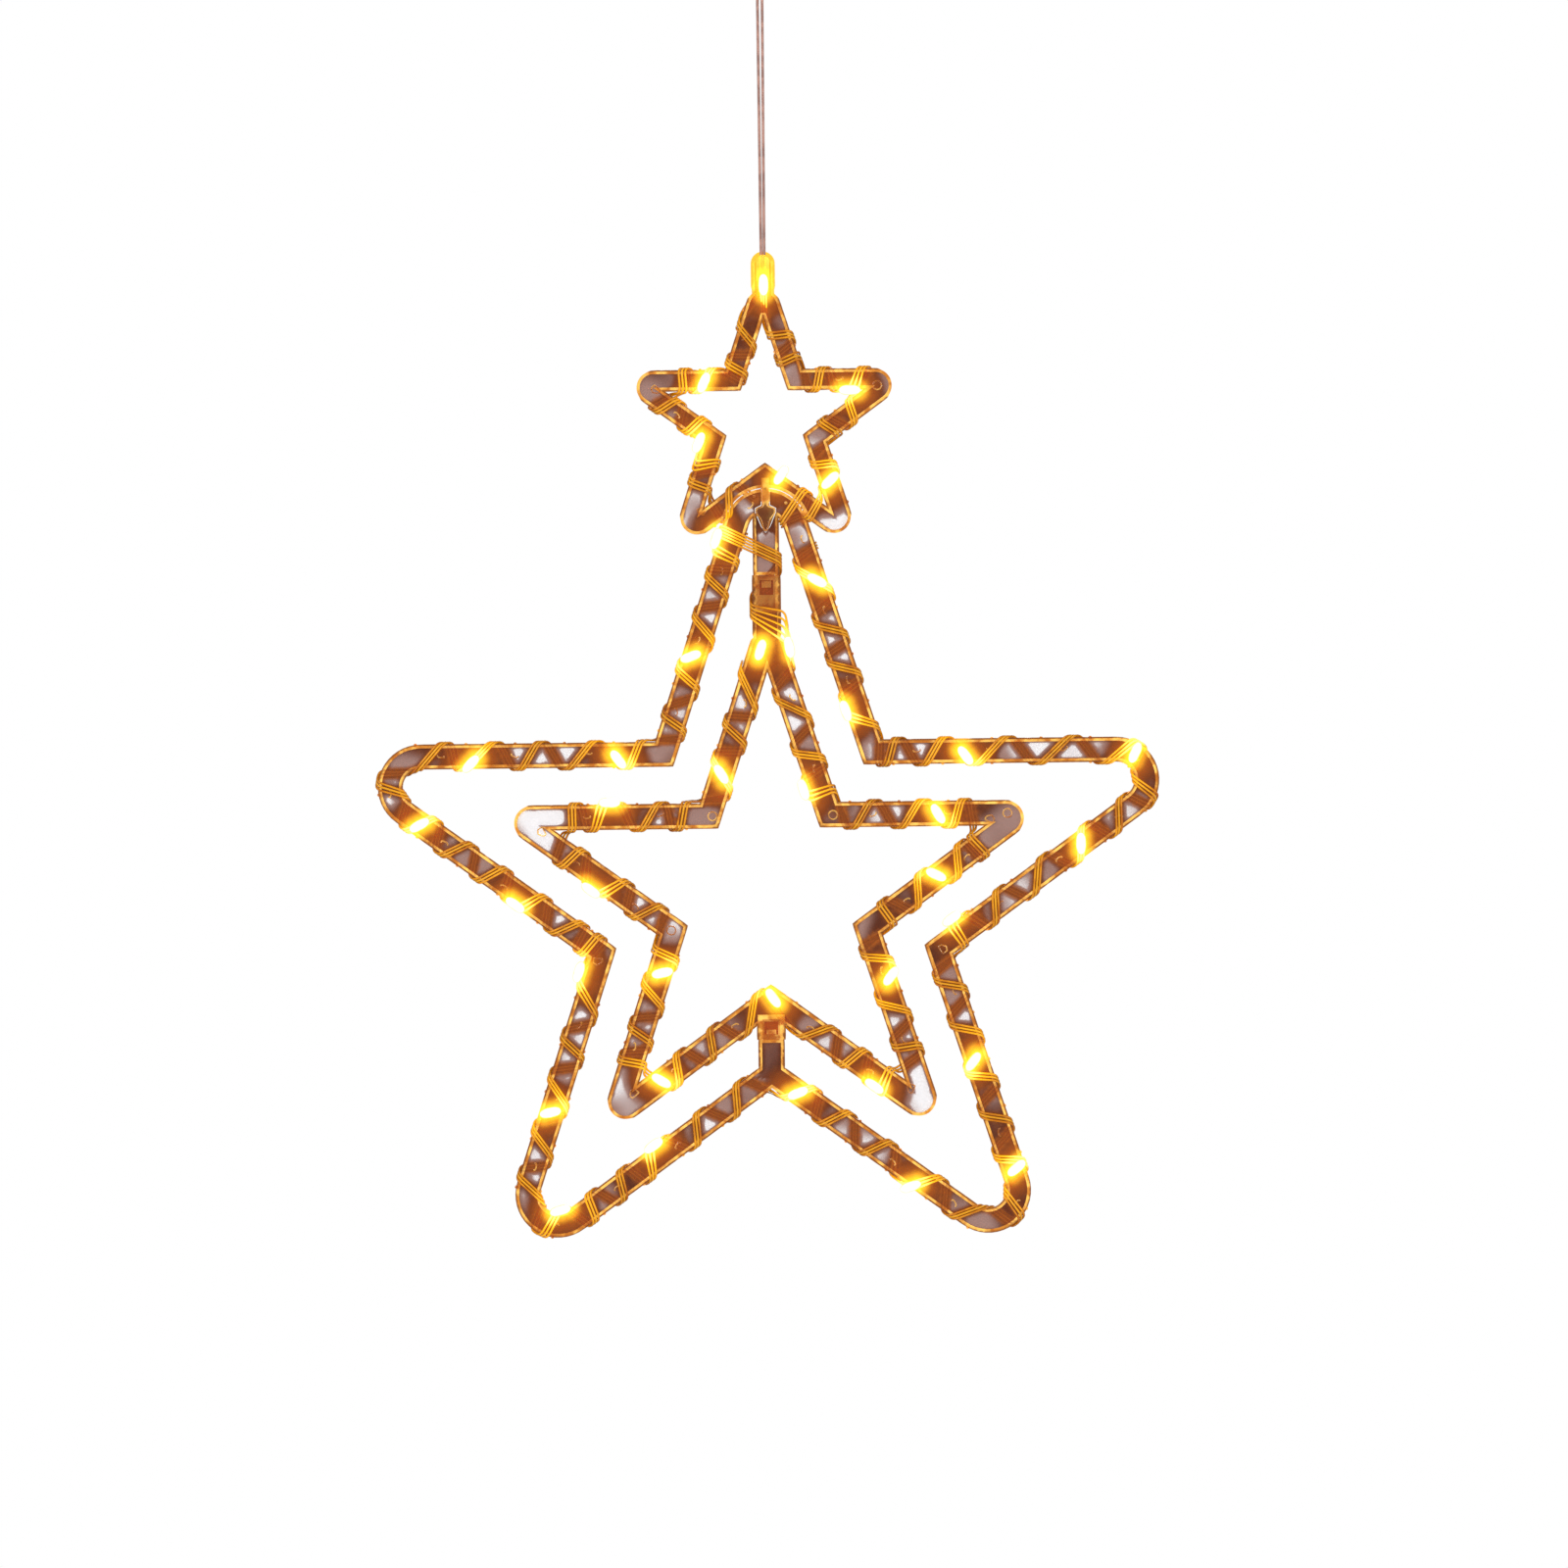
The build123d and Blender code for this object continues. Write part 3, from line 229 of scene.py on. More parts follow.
def smoky_plastic():
    """The stars' plastic: brown clouds, lilac and clear windows between the strings with painted wire shade
    beside them, painted amber glow by the lamps, painted rim glow along the edges and painted glow where
    wires run behind.
    """
    outputs = [("Color", "NodeSocketColor"), ("Light", "NodeSocketColor"), ("Height", "NodeSocketFloat")]
    group, _, out = new_group("smoky plastic", [], outputs)
    # Painted lamp light: amber and yellow glow painted into the colour near the lamps, clear and lilac
    # windows only away from it
    far_glow = carried_value(group, "far_glow")
    wire_glow_behind = carried_value(group, "wire_glow_behind")
    rim = carried_value(group, "rim")
    near_glow = ramp(group, carried_value(group, "glow"), 0.2, 0.85)
    amber = ramp(group, far_glow, 0.35, 0.85)
    glow_free = maths(group, "SUBTRACT", 1.0, ramp(group, far_glow, 0.25, 0.6))
    glow_free_opening = product(group, glow_free, carried_value(group, "opening"))
    patch = clouds(group, 26.0, 1.0, (0.4, 0.0, 0.2))
    lilac_share = product(group, ramp(group, glow_free_opening, 0.05, 0.7), ramp(group, patch, 0.3, 0.44))
    clear_share = product(group, ramp(group, glow_free_opening, 0.6, 0.82), ramp(group, patch, 0.47, 0.58))
    streak = ramp(group, clouds(group, 260.0, 3.0), 0.45, 0.7)
    cloud = ramp(group, clouds(group, 70.0), 0.4, 0.62)
    smoke = blend_colours(group, cloud, tone(112, 50, 8), tone(98, 46, 20))
    # Over the brown: streaks, lilac and clear windows, then the painted glow of wires behind and the painted
    # lamp glow
    for share, colour in (
        (product(group, streak, 0.4), tone(142, 82, 38)),
        (lilac_share, tone(172, 136, 126)),
        (clear_share, tone(252, 250, 252)),
        (product(group, wire_glow_behind, 0.85), tone(190, 104, 28)),
        (product(group, amber, 0.85), tone(160, 84, 6)),
        (near_glow, tone(255, 206, 60)),
    ):
        smoke = blend_colours(group, share, smoke, colour)
    # Painted rim glow: cream and gold edges that stand for light carried along the plastic, darker on the
    # outermost wall, yellow by the lamps
    rim_glow_mottle = ramp(group, clouds(group, 190.0, 3.0, (0.1, 0.3, 0.0)), 0.4, 0.62)
    edge = blend_colours(group, rim_glow_mottle, tone(176, 104, 32), tone(246, 196, 96))
    verge = ramp(group, carried_value(group, "verge"), 0.35, 0.95)
    edge = blend_colours(group, verge, edge, tone(128, 76, 30))
    edge = blend_colours(group, near_glow, edge, tone(255, 212, 70))
    # Painted glow given off as light: over wires behind, by the lamps and along the rims
    lit = blend_colours(group, wire_glow_behind, black, tone(84, 40, 4))
    lit = blend_colours(group, amber, lit, tone(104, 50, 2))
    lit = blend_colours(group, near_glow, lit, tone(255, 190, 34))
    lit_edge = blend_colours(group, near_glow, scaled_colour(group, edge, 0.35), tone(250, 184, 40))
    settle(group, out, {
        "Color": blend_colours(group, rim, smoke, edge),
        "Light": blend_colours(group, rim, lit, lit_edge),
        "Height": clouds(group, 900.0),
    })
    material, tree, shader, node = new_material("star plastic", group)
    settle(tree, shader, {"Roughness": 0.09, "IOR": 1.46, "Specular IOR Level": 0.2})
    settle(tree, shader, {"Transmission Weight": 0.72, "Emission Strength": 0.85})
    settle(tree, shader, {"Base Color": node.outputs["Color"], "Emission Color": node.outputs["Light"]})
    uneven(tree, shader, node.outputs["Height"], 0.08, 0.0002)
    return material


def insulated_wire():
    """The string's wires: gold far from the lamps, with painted yellow glow near them and painted shade
    towards their outlines.
    """
    outputs = [(label, "NodeSocketColor") for label in ("Color", "Light", "Rim")]
    group, _, out = new_group("string wire", [], outputs)
    glow = carried_value(group, "glow")
    far_glow = carried_value(group, "far_glow")
    mottle = ramp(group, clouds(group, 150.0), 0.38, 0.64)
    gold = blend_colours(group, mottle, tone(176, 96, 6), tone(214, 136, 12))
    for share, colour in (
        (product(group, carried_value(group, "strand"), 0.75), tone(232, 166, 34)),
        (ramp(group, far_glow, 0.25, 0.85), tone(250, 174, 20)),
        (ramp(group, glow, 0.25, 0.85), tone(255, 236, 110)),
    ):
        gold = blend_colours(group, share, gold, colour)
    # Painted glow given off as light: a little all along the wires, more with the far glow and most with the
    # near glow
    strength = maths(group, "ADD", 0.12, product(group, far_glow, 0.3))
    strength = maths(group, "ADD", strength, product(group, glow, 0.9))
    shaded_edge_level = maths(group, "ADD", 0.16, product(group, glow, 0.6))
    light, rim = [scaled_colour(group, gold, amount) for amount in (strength, shaded_edge_level)]
    settle(group, out, {"Color": gold, "Light": light, "Rim": rim})
    material, tree, shader, node = new_material("string wire", group)
    settle(tree, shader, {"Roughness": 0.28, "Specular IOR Level": 0.3, "Emission Strength": 1.0})
    # Painted shade: the wires darker towards their outlines, so that dark lines show between strands
    away = facing_share(tree, 0.35)
    colour_with_edge_shade = blend_colours(tree, away, node.outputs["Color"], node.outputs["Rim"])
    light = blend_colours(tree, away, node.outputs["Light"], black)
    settle(tree, shader, {"Base Color": colour_with_edge_shade, "Emission Color": light})
    return material


def lit_resin():
    """The lamps' resin drops: white in the middle, amber at the rim."""
    outputs = [(label, "NodeSocketColor") for label in ("Heart", "Edge")]
    group, _, out = new_group("lit drop", [], outputs)
    spark = ramp(group, clouds(group, 420.0), 0.35, 0.65)
    heart = blend_colours(group, spark, tone(255, 246, 190), tone(255, 252, 226))
    edge = blend_colours(group, spark, tone(255, 170, 14), tone(255, 192, 36))
    settle(group, out, {"Heart": heart, "Edge": edge})
    material, tree, shader, node = new_material("lit lamp drop", group)
    settle(tree, shader, {"Roughness": 0.1, "Coat Weight": 0.5, "Emission Strength": 2.0})
    light = blend_colours(tree, facing_share(tree, 0.62), node.outputs["Heart"], node.outputs["Edge"])
    settle(tree, shader, {"Base Color": light, "Emission Color": light})
    return material


def fine_unevenness():
    """Two close shades in a fine grain, shared by the box, its contents and the fixing."""
    inputs = [("Main", "NodeSocketColor"), ("Shade", "NodeSocketColor")]
    inputs += [("Scale", "NodeSocketFloat"), ("Gloss", "NodeSocketFloat")]
    outputs = [("Color", "NodeSocketColor"), ("Roughness", "NodeSocketFloat"), ("Height", "NodeSocketFloat")]
    group, taken, out = new_group("fine unevenness", inputs, outputs)
    place = group.nodes.new("ShaderNodeTexCoord")
    fine = group.nodes.new("ShaderNodeTexNoise")
    settle(group, fine, {"Detail": 3.0, "Vector": place.outputs["Object"], "Scale": taken.outputs["Scale"]})
    grain = ramp(group, fine.outputs[0], 0.35, 0.65)
    shades = blend_colours(group, grain, taken.outputs["Main"], taken.outputs["Shade"])
    roughness = maths(group, "ADD", taken.outputs["Gloss"], product(group, fine.outputs[0], 0.12))
    settle(group, out, {"Color": shades, "Roughness": roughness, "Height": fine.outputs[0]})
    return group


def plain_material(name, main, shade, gloss, scale, metal=0.0, clear=0.0, coat=0.0):
    """A material for one kind of moulded or metal surface, from two close tones."""
    material, tree, shader, node = new_material(name, grain_group)
    settle(tree, node, {"Main": tone(*main), "Shade": tone(*shade), "Scale": scale, "Gloss": gloss})
    settle(tree, shader, {"Metallic": metal, "Transmission Weight": clear, "Coat Weight": coat})
    settle(tree, shader, {"Base Color": node.outputs["Color"], "Roughness": node.outputs["Roughness"]})
    uneven(tree, shader, node.outputs["Height"], 0.15, 0.0001)
    return material


star_plastic = smoky_plastic()
string_wire = insulated_wire()
lamp_drop = lit_resin()
grain_group = fine_unevenness()
lead_wire = plain_material("lead wire", (178, 130, 114), (140, 98, 86), 0.26, 260.0, coat=0.3)
box_plastic = plain_material("box plastic", (236, 234, 228), (226, 223, 216), 0.38, 1400.0)
cell_jacket = plain_material("cell jacket", (64, 92, 78), (52, 78, 66), 0.3, 500.0, coat=0.4)
cell_metal = plain_material("bright steel", (214, 214, 212), (190, 190, 188), 0.2, 700.0, metal=1.0)
contact_metal = plain_material("contact metal", (220, 214, 196), (196, 188, 166), 0.22, 800.0, metal=1.0)
board_green = plain_material("board green", (28, 92, 52), (20, 72, 42), 0.35, 400.0, coat=0.4)
chip_black = plain_material("chip black", (34, 34, 36), (24, 24, 26), 0.45, 900.0)
knob_black = plain_material("knob black", (44, 44, 46), (32, 32, 34), 0.5, 900.0)
grip_rubber = plain_material("grip rubber", (206, 204, 198), (190, 188, 182), 0.6, 900.0)
hook_plastic = plain_material("hook plastic", (242, 242, 240), (230, 230, 228), 0.25, 700.0)
cup_vinyl = plain_material("cup vinyl", (248, 251, 252), (236, 242, 245), 0.06, 160.0, clear=0.92)
lead_copper = plain_material("inner wire", (176, 128, 110), (140, 98, 84), 0.3, 260.0, coat=0.4)


# Winding: a turn goes over the back, round the inner edge, over the front and round the outer edge
turn_sides = [1, -1, -1, 1]
turn_faces = [1, 1, -1, -1]
Star = namedtuple("Star", "tip_radius band rise tip_arc")
Contact = namedtuple("Contact", "x z heading_x heading_z y")
outer = Star(outer_tip_radius, outer_band, 0, outer_tip_rounding - outer_band / 2)
inner = Star(inner_tip_radius, inner_band, -inner_drop, 0)
small = Star(small_tip_radius, small_band, small_rise, 0)
edge_reach = wire_diameter / 2 + wire_standoff
face_reach = rim_depth / 2 + wire_diameter / 2 + wire_lift
least_sine = 0.35
sleeve_reach = sleeve_depth / 2 + wire_diameter / 2 + wire_lift


def leg_length(star):
    """Length of a band's middle line from a valley to its sharp tip."""
    radius = star.tip_radius - star.band / 2 / sin(tip_half)
    return radius * hypot(valley_share * sin(step / 2), 1 - valley_share * cos(step / 2))


def half_run(star):
    """Length of the middle line from a valley to the top of the tip's arc."""
    return leg_length(star) - star.tip_arc / tan(tip_half) + star.tip_arc * (pi / 2 - tip_half)


def valley_gap(star):
    """Nearest place to a valley where three wires fit round the outer edge."""
    return (star.band / 2 + edge_reach) * tan(step / 2) + 2 * wire_pitch


def crotch_gap(star):
    """Nearest place to a sharp tip where three wires fit round the inner edge."""
    return (star.band / 2 + edge_reach) / tan(tip_half) + 2 * wire_pitch


def band_place(star, arm, run, side):
    """Point beside a band's middle line and the line's heading there, clockwise from the arm's tip."""
    radius = star.tip_radius - star.band / 2 / sin(tip_half)
    swing = star.tip_arc * (pi / 2 - tip_half)
    if abs(run) < swing:
        heading = run / star.tip_arc
        along = radius - star.tip_arc / sin(tip_half) + (star.tip_arc + side) * cos(heading)
        across = (star.tip_arc + side) * sin(heading)
    else:
        sense = copysign(1, run)
        back = abs(run) - swing + star.tip_arc / tan(tip_half)
        along = radius - back * cos(tip_half) + side * sin(tip_half)
        across = sense * (back * sin(tip_half) + side * cos(tip_half))
        heading = sense * (pi / 2 - tip_half)
    turn = arm * step
    x = along * sin(turn) + across * cos(turn)
    z = along * cos(turn) - across * sin(turn)
    return x, z + star.rise, cos(heading + turn), -sin(heading + turn)


def contact(star, arm, run, corner):
    """Where the winding bends round its band at one of the four corners of a turn."""
    side = turn_sides[corner] * (star.band / 2 + edge_reach)
    return Contact(*band_place(star, arm, run, side), turn_faces[corner] * face_reach)


def direction(a, b):
    """Unit vector of the pass from one contact to the next."""
    return Vector((b.x - a.x, b.y - a.y, b.z - a.z)).normalized()


def heading_sine(a, b):
    """Sine of the angle between the pass to the next contact and the first heading."""
    reach = hypot(b.x - a.x, b.z - a.z)
    return ((b.x - a.x) * a.heading_z - (b.z - a.z) * a.heading_x) / reach


def steepness(here, before, after):
    """Least sine between the heading and the ways in and out."""
    heading = Vector((here.heading_x, 0, here.heading_z))
    ways = [direction(a, b) for a, b in ((before, here), (here, after)) if a and b]
    return max(min(heading.cross(way).length for way in ways), least_sine)


def wire_points(contacts, place):
    """Route of one wire: each contact moved along its band, so that side by side wires never cross."""
    points = []
    order = 1
    for before, here, after in zip([None, *contacts], contacts, [*contacts[1:], None]):
        if before and before.y * here.y > 0:
            order = order * copysign(1, -heading_sine(before, here) * heading_sine(here, before))
        shift = place * order * wire_pitch / steepness(here, before, after)
        x = here.x + shift * here.heading_x
        z = here.z + shift * here.heading_z
        points.append((x, star_y + here.y, star_z + z))
    return np.array(points)


# Lamps: their places in the picture
small_lamp_pixels = [(720, 391), (713, 451), (867, 399), (847, 491), (797, 485)]
inner_lamp_pixels = [
    (776, 663), (804, 661), (738, 788), (622, 817), (603, 906), (676, 991), (675, 1101), (789, 1018),
    (892, 1109), (909, 997), (955, 894), (957, 832), (820, 806),
]
outer_lamp_pixels = [
    (731, 549), (705, 669), (631, 773), (483, 778), (428, 837), (526, 920), (591, 989), (562, 1132),
    (572, 1232), (667, 1167), (812, 1110), (927, 1205), (1037, 1194), (993, 1085), (971, 939), (1096, 864),
    (1158, 772), (985, 773), (863, 726), (833, 594),
]
lug_lamp_pixel = (779, 291)
lamp_radius = 2.15
lamp_half = 4.7
lamp_sink = 1.0
all_lamp_pixels = [*small_lamp_pixels, *inner_lamp_pixels, *outer_lamp_pixels]
lamp_places_flat = [picture_place(pixel) for pixel in all_lamp_pixels]

# Turns of the strings, read off the photograph: pixels from the valley to each place where the
# string rounds an edge of its band, leg by leg clockwise from the top tip. Counted from the valley, an
# even leg begins at the outer edge and an odd leg at the inner edge, and from there the edges alternate.
outer_turns = [
    (5, 45, 69, 95, 111, 137, 158, 197, 214),
    (2, 18, 41, 66, 95, 130, 159, 197, 226, 258),
    (3, 26, 50, 77, 100, 133, 157, 186, 206, 234, 252, 274),
    (18, 41, 65, 89, 118, 138, 161, 184, 208, 227, 250, 279),
    (5, 38, 58, 81, 109, 133, 162, 196, 221, 255),
    (23, 49, 74, 99, 128, 156, 172, 192, 212, 228, 251, 274),
    (19, 58, 82, 104, 125, 156, 181, 210, 230, 262),
    (1, 5, 23, 48, 70, 96, 119, 141, 162, 186, 207, 229, 251, 277),
    (3, 31, 61, 92, 116, 141, 163, 199, 214, 250),
    (16, 33, 61, 82, 113, 139, 160, 182, 197, 215),
]
inner_turns = [
    (2, 24, 44, 66, 88, 124, 150), (13, 38, 62, 88, 114, 130), (1, 20, 42, 69, 93, 119, 130, 138),
    (13, 33, 63, 89, 112, 125), (34, 62, 85, 101, 128, 142), (-3, 35, 55, 78, 98, 121),
    (2, 23, 48, 74, 94, 111, 130, 136), (13, 36, 56, 82, 112, 126), (2, 25, 39, 64, 90, 112, 127, 135),
    (19, 51, 68, 90, 105, 145),
]
small_turns = [
    (0, 17, 34, 50), (10, 23, 48, 64), (1, 10, 31, 50), (14, 27, 52), (20, 37, 51),
    (4, 8, 26, 51), (5, 17, 38, 58), (11, 24, 43, 61), (4, 31, 41, 52), (-6, 8, 27, 51),
]
usual_arc = 1.7
lamp_arc = 3.8
edge_lamp_reach = 3.4
tip_gap = 0.5


def leg_run(star, leg, pixels):
    """Run along its arm of a place on a leg, given in pixels from the valley."""
    reach = half_run(star) - star.band / 2 * tan(step / 2)
    return (1 if leg % 2 == 0 else -1) * (reach - pixels * picture_scale)


def arc_half(star, arm, run, side):
    """Half the way the string keeps along an edge: longer where a lamp lies on that edge."""
    x, z = band_place(star, arm, run, side * star.band / 2)[:2]
    nearest = min(hypot(x - a, z - b) for a, b in lamp_places_flat)
    return lamp_arc if nearest < edge_lamp_reach else usual_arc


def turn(star, leg, pixels, rounds_outer):
    """The two contacts of one turn round an edge, clear of the valley and of a sharp tip."""
    arm = (leg + 1) // 2
    run = leg_run(star, leg, pixels)
    corners = (3, 0) if rounds_outer else (1, 2)
    half = arc_half(star, arm, run, 1 if rounds_outer else -1)
    low, high = run - half, run + half
    limit = half_run(star) - (valley_gap(star) if rounds_outer else tip_gap)
    shift = max(0, -limit - low) - max(0, high - limit)
    crotch = 0 if rounds_outer or star.tip_arc > 0 else crotch_gap(star)
    if -crotch < high and low < crotch:
        shift = -crotch - high if leg % 2 else crotch - low
    return [contact(star, arm % arms, place + shift, corner) for place, corner in zip((low, high), corners)]


def wound(star, turns, legs):
    """Contacts of a winding along the given legs, clockwise."""
    contacts = []
    for leg in legs:
        places = list(enumerate(turns[leg]))
        for k, pixels in places if leg % 2 else reversed(places):
            contacts += turn(star, leg, pixels, (k + leg) % 2 == 0)
    return contacts


outer_contacts = wound(outer, outer_turns, range(2 * arms))[1:]
inner_around = wound(inner, inner_turns, range(2 * arms))

# String over the bar and stem, from the outer star to the inner one
over_left = 22.2
over_bar = sleeve_mouth + 6.8
under_bar = sleeve_mouth + 4.3
stem_back = sleeve_mouth - 11.4
stem_front = sleeve_mouth - 15.6
stem_low = inner_top + 1.6
tip_standoff = 0.9
stem_reach = sleeve_width / 2 + edge_reach
bar_reach = bar_width / 2 + edge_reach
stem_contacts = [
    contact(outer, 0, -over_left, 1),
    contact(outer, 0, -over_left - wire_diameter * 2, 0),
    contact(outer, 0, -over_left, 3),
    Contact(bar_reach, over_bar, 0, -1, -face_reach),
    Contact(bar_reach, under_bar, 0, -1, sleeve_reach),
    Contact(-stem_reach, stem_back, 0, -1, sleeve_reach),
    Contact(-stem_reach, stem_front, 0, -1, -sleeve_reach),
    Contact(stem_reach + tip_standoff, stem_low, 0, -1, -sleeve_reach),
]

# Strings round the small star
lug_top = small_rise + lug_reach
boss_low = lug_top - boss_top_gap - boss_length
lug_exit = 2.0
arch_run = 15.4
front_low = Contact(0, boss_low - lug_exit, 1, 0, -face_reach)
back_low = front_low._replace(y=face_reach)
arch_pass = [contact(outer, 0, arch_run, corner) for corner in (2, 1, 0)]
small_right_contacts = [
    front_low._replace(z=boss_low), front_low,
    *wound(small, small_turns, range(0, 4)),
    *turn(small, 4, small_turns[4][2], True), *turn(small, 4, small_turns[4][1], False),
    *arch_pass,
]
small_left_contacts = [*wound(small, small_turns, range(5, 10))[3:], back_low]
inner_contacts = [*stem_contacts, *inner_around]
windings = (outer_contacts, inner_contacts, small_right_contacts, small_left_contacts)

# The strings' passes, and how the lamps lie on them
all_passes = [pair for contacts in windings for pair in zip(contacts, contacts[1:])]
shortest_pass = 0.1
end_share = 0.1
lamp_pull = 3.5
lug_lamp_sink = 0.6


def nearest_pass(x, z):
    """How far the nearest pass is, its nearest point, its direction and the pass itself."""
    best = None
    for a, b in all_passes:
        length = max(hypot(b.x - a.x, b.z - a.z), shortest_pass)
        way = ((b.x - a.x) / length, (b.z - a.z) / length)
        along = (x - a.x) * way[0] + (z - a.z) * way[1]
        along = min(max(along, end_share * length), (1 - end_share) * length)
        near = (a.x + along * way[0], a.z + along * way[1])
        away = hypot(x - near[0], z - near[1])
        if best is None or away < best[0]:
            best = (away, near, way, (a, b))
    return best


def lamp_seat(pixel):
    """Where a lamp lies and which way: along the nearest pass, and on it where that is in front."""
    x, z = picture_place(pixel)
    away, near, way, (a, b) = nearest_pass(x, z)
    if a.y < 0 and b.y < 0 and away < lamp_pull:
        return (near[0], a.y - wire_diameter / 2 - lamp_radius + lamp_sink, near[1]), way
    return (x, -rim_depth / 2 - lamp_radius, z), way


small_seats = [lamp_seat(pixel) for pixel in small_lamp_pixels]
inner_seats = [lamp_seat(pixel) for pixel in inner_lamp_pixels]
outer_seats = [lamp_seat(pixel) for pixel in outer_lamp_pixels]
lug_x, lug_z = picture_place(lug_lamp_pixel)
lug_seat = ((lug_x, lug_lamp_sink - boss_front, lug_z), (0.0, 1.0))
all_seats = [*small_seats, *inner_seats, *outer_seats, lug_seat]
lamp_places = np.array([(x, star_y + y, star_z + z) for (x, y, z), _ in all_seats])
lamp_ways = np.array([(way[0], 0.0, way[1]) for _, way in all_seats])


# Meshes from computed grids
def new_object(name, points, faces, material, smooth=True):
    """A mesh object from points in millimetres."""
    mesh = bpy.data.meshes.new(name)
    mesh.from_pydata((points * MM).tolist(), [], faces)
    mesh.polygons.foreach_set("use_smooth", np.full(len(mesh.polygons), smooth))
    mesh.materials.append(material)
    mesh.update()
    return add_object(name, mesh)


def carry(obj, values):
    """Store values on a mesh, one per point under each name."""
    for name, shares in values.items():
        attribute = obj.data.attributes.new(name, "FLOAT", "POINT")
        attribute.data.foreach_set("value", np.asarray(shares, dtype=np.float32))


def mesh_points(mesh):
    """A mesh's points in millimetres."""
    points = np.empty(len(mesh.vertices) * 3)
    mesh.vertices.foreach_get("co", points)
    return points.reshape(-1, 3) / MM


def near_distance(points, targets, block=2000):
    """Distance from each point to the nearest of the targets, a block of points at a time."""
    result = np.empty(len(points))
    for start in range(0, len(points), block):
        apart = ((points[start:start + block, None] - targets[None]) ** 2).sum(axis=2)
        result[start:start + block] = np.sqrt(apart.min(axis=1))
    return result


# Painted lamp light: how far the glow round each lamp is painted onto the plastic and the wires
glow_reach = 6.3
far_glow_reach = 15.0
lamp_stations = (-3.0, 0.0, 3.0)


def lamp_light(points):
    """Painted lamp light: a glow close to a lamp and a fainter far glow further off,
    from the distance d to the lamps' middle lines.

    glow = exp(-(d / glow_reach)^2) and the far glow = exp(-(d / far glow reach)^1.5).
    """
    stations = np.concatenate([lamp_places + lamp_ways * station for station in lamp_stations])
    away = near_distance(points, stations)
    return np.exp(-((away / glow_reach) ** 2)), np.exp(-((away / far_glow_reach) ** 1.5))


arc_points = 5
most_cut_share = 0.45
straight_shares = (1 / 3, 2 / 3)


def rounded(points, headings, reach):
    """A route with its corners rounded: a quadratic arc from reach before each corner to reach after it."""
    way = np.diff(points, axis=0)
    length = np.linalg.norm(way, axis=1)[:, None]
    way = way / length
    cut = np.minimum(reach, most_cut_share * length)
    start = points[1:-1] - way[:-1] * cut[:-1]
    end = points[1:-1] + way[1:] * cut[1:]
    s = np.linspace(0, 1, arc_points)[None, :, None]
    arcs = (1 - s) ** 2 * start[:, None] + 2 * s * (1 - s) * points[1:-1][:, None] + s ** 2 * end[:, None]
    first = np.concatenate([points[:1], end])
    last = np.concatenate([start, points[-1:]])
    t = np.array(straight_shares)[None, :, None]
    straights = first[:, None] * (1 - t) + last[:, None] * t
    bends = np.concatenate([straights[:-1], arcs], axis=1).reshape(-1, 3)
    line = np.concatenate([points[:1], bends, straights[-1], points[-1:]])
    turned = np.repeat(headings[1:-1][:, None], arc_points, axis=1)
    between = headings[:-1][:, None] * (1 - t) + headings[1:][:, None] * t
    turns = np.concatenate([between[:-1], turned], axis=1).reshape(-1, 3)
    return line, np.concatenate([headings[:1], turns, between[-1], headings[-1:]])


def ring_faces(rows, sides):
    """Quads between neighbouring rings of points, and the first and the last ring."""
    index = np.arange(rows * sides).reshape(rows, sides)
    turned = np.roll(index, -1, axis=1)
    quads = np.stack([index[:-1], index[1:], turned[1:], turned[:-1]], axis=2).reshape(-1, 4)
    return quads, index[0], index[-1]


def tube(line, facing, radius, sides=8):
    """Round tube along a line: P + radius * (cos a * N + sin a * B), with N = T x facing and B = T x N."""
    tangent = np.gradient(line, axis=0)
    tangent /= np.linalg.norm(tangent, axis=1)[:, None]
    normal = np.cross(tangent, facing)
    normal /= np.linalg.norm(normal, axis=1)[:, None]
    other = np.cross(tangent, normal)
    angle = np.linspace(0, 2 * pi, sides, endpoint=False)[None, :, None]
    rings = line[:, None] + radius * (np.cos(angle) * normal[:, None] + np.sin(angle) * other[:, None])
    quads, first, last = ring_faces(len(line), sides)
    return rings.reshape(-1, 3), quads, [first.tolist(), last[::-1].tolist()]


def tubes_object(name, routes, radius, material, sides=8):
    """One object of several closed tubes, each along a line with its facings."""
    points = []
    faces = []
    start = 0
    for line, facing in routes:
        rings, quads, caps = tube(line, facing, radius, sides)
        points.append(rings)
        faces += (quads + start).tolist() + [[i + start for i in cap] for cap in caps]
        start += len(rings)
    return new_object(name, np.concatenate(points), faces, material)


string_rounding = 2.6
wire_sides = 8
strand_shades = (0.0, 0.8, 0.2, 0.7, 0.1)
three = (-1, 0, 1)
five = (-2, -1, 0, 1, 2)
joint = len(stem_contacts)


def numbered(name, first, count):
    """Names of CAD nodes that differ by a number."""
    return [f"{name}_{k}" for k in range(first, first + count)]


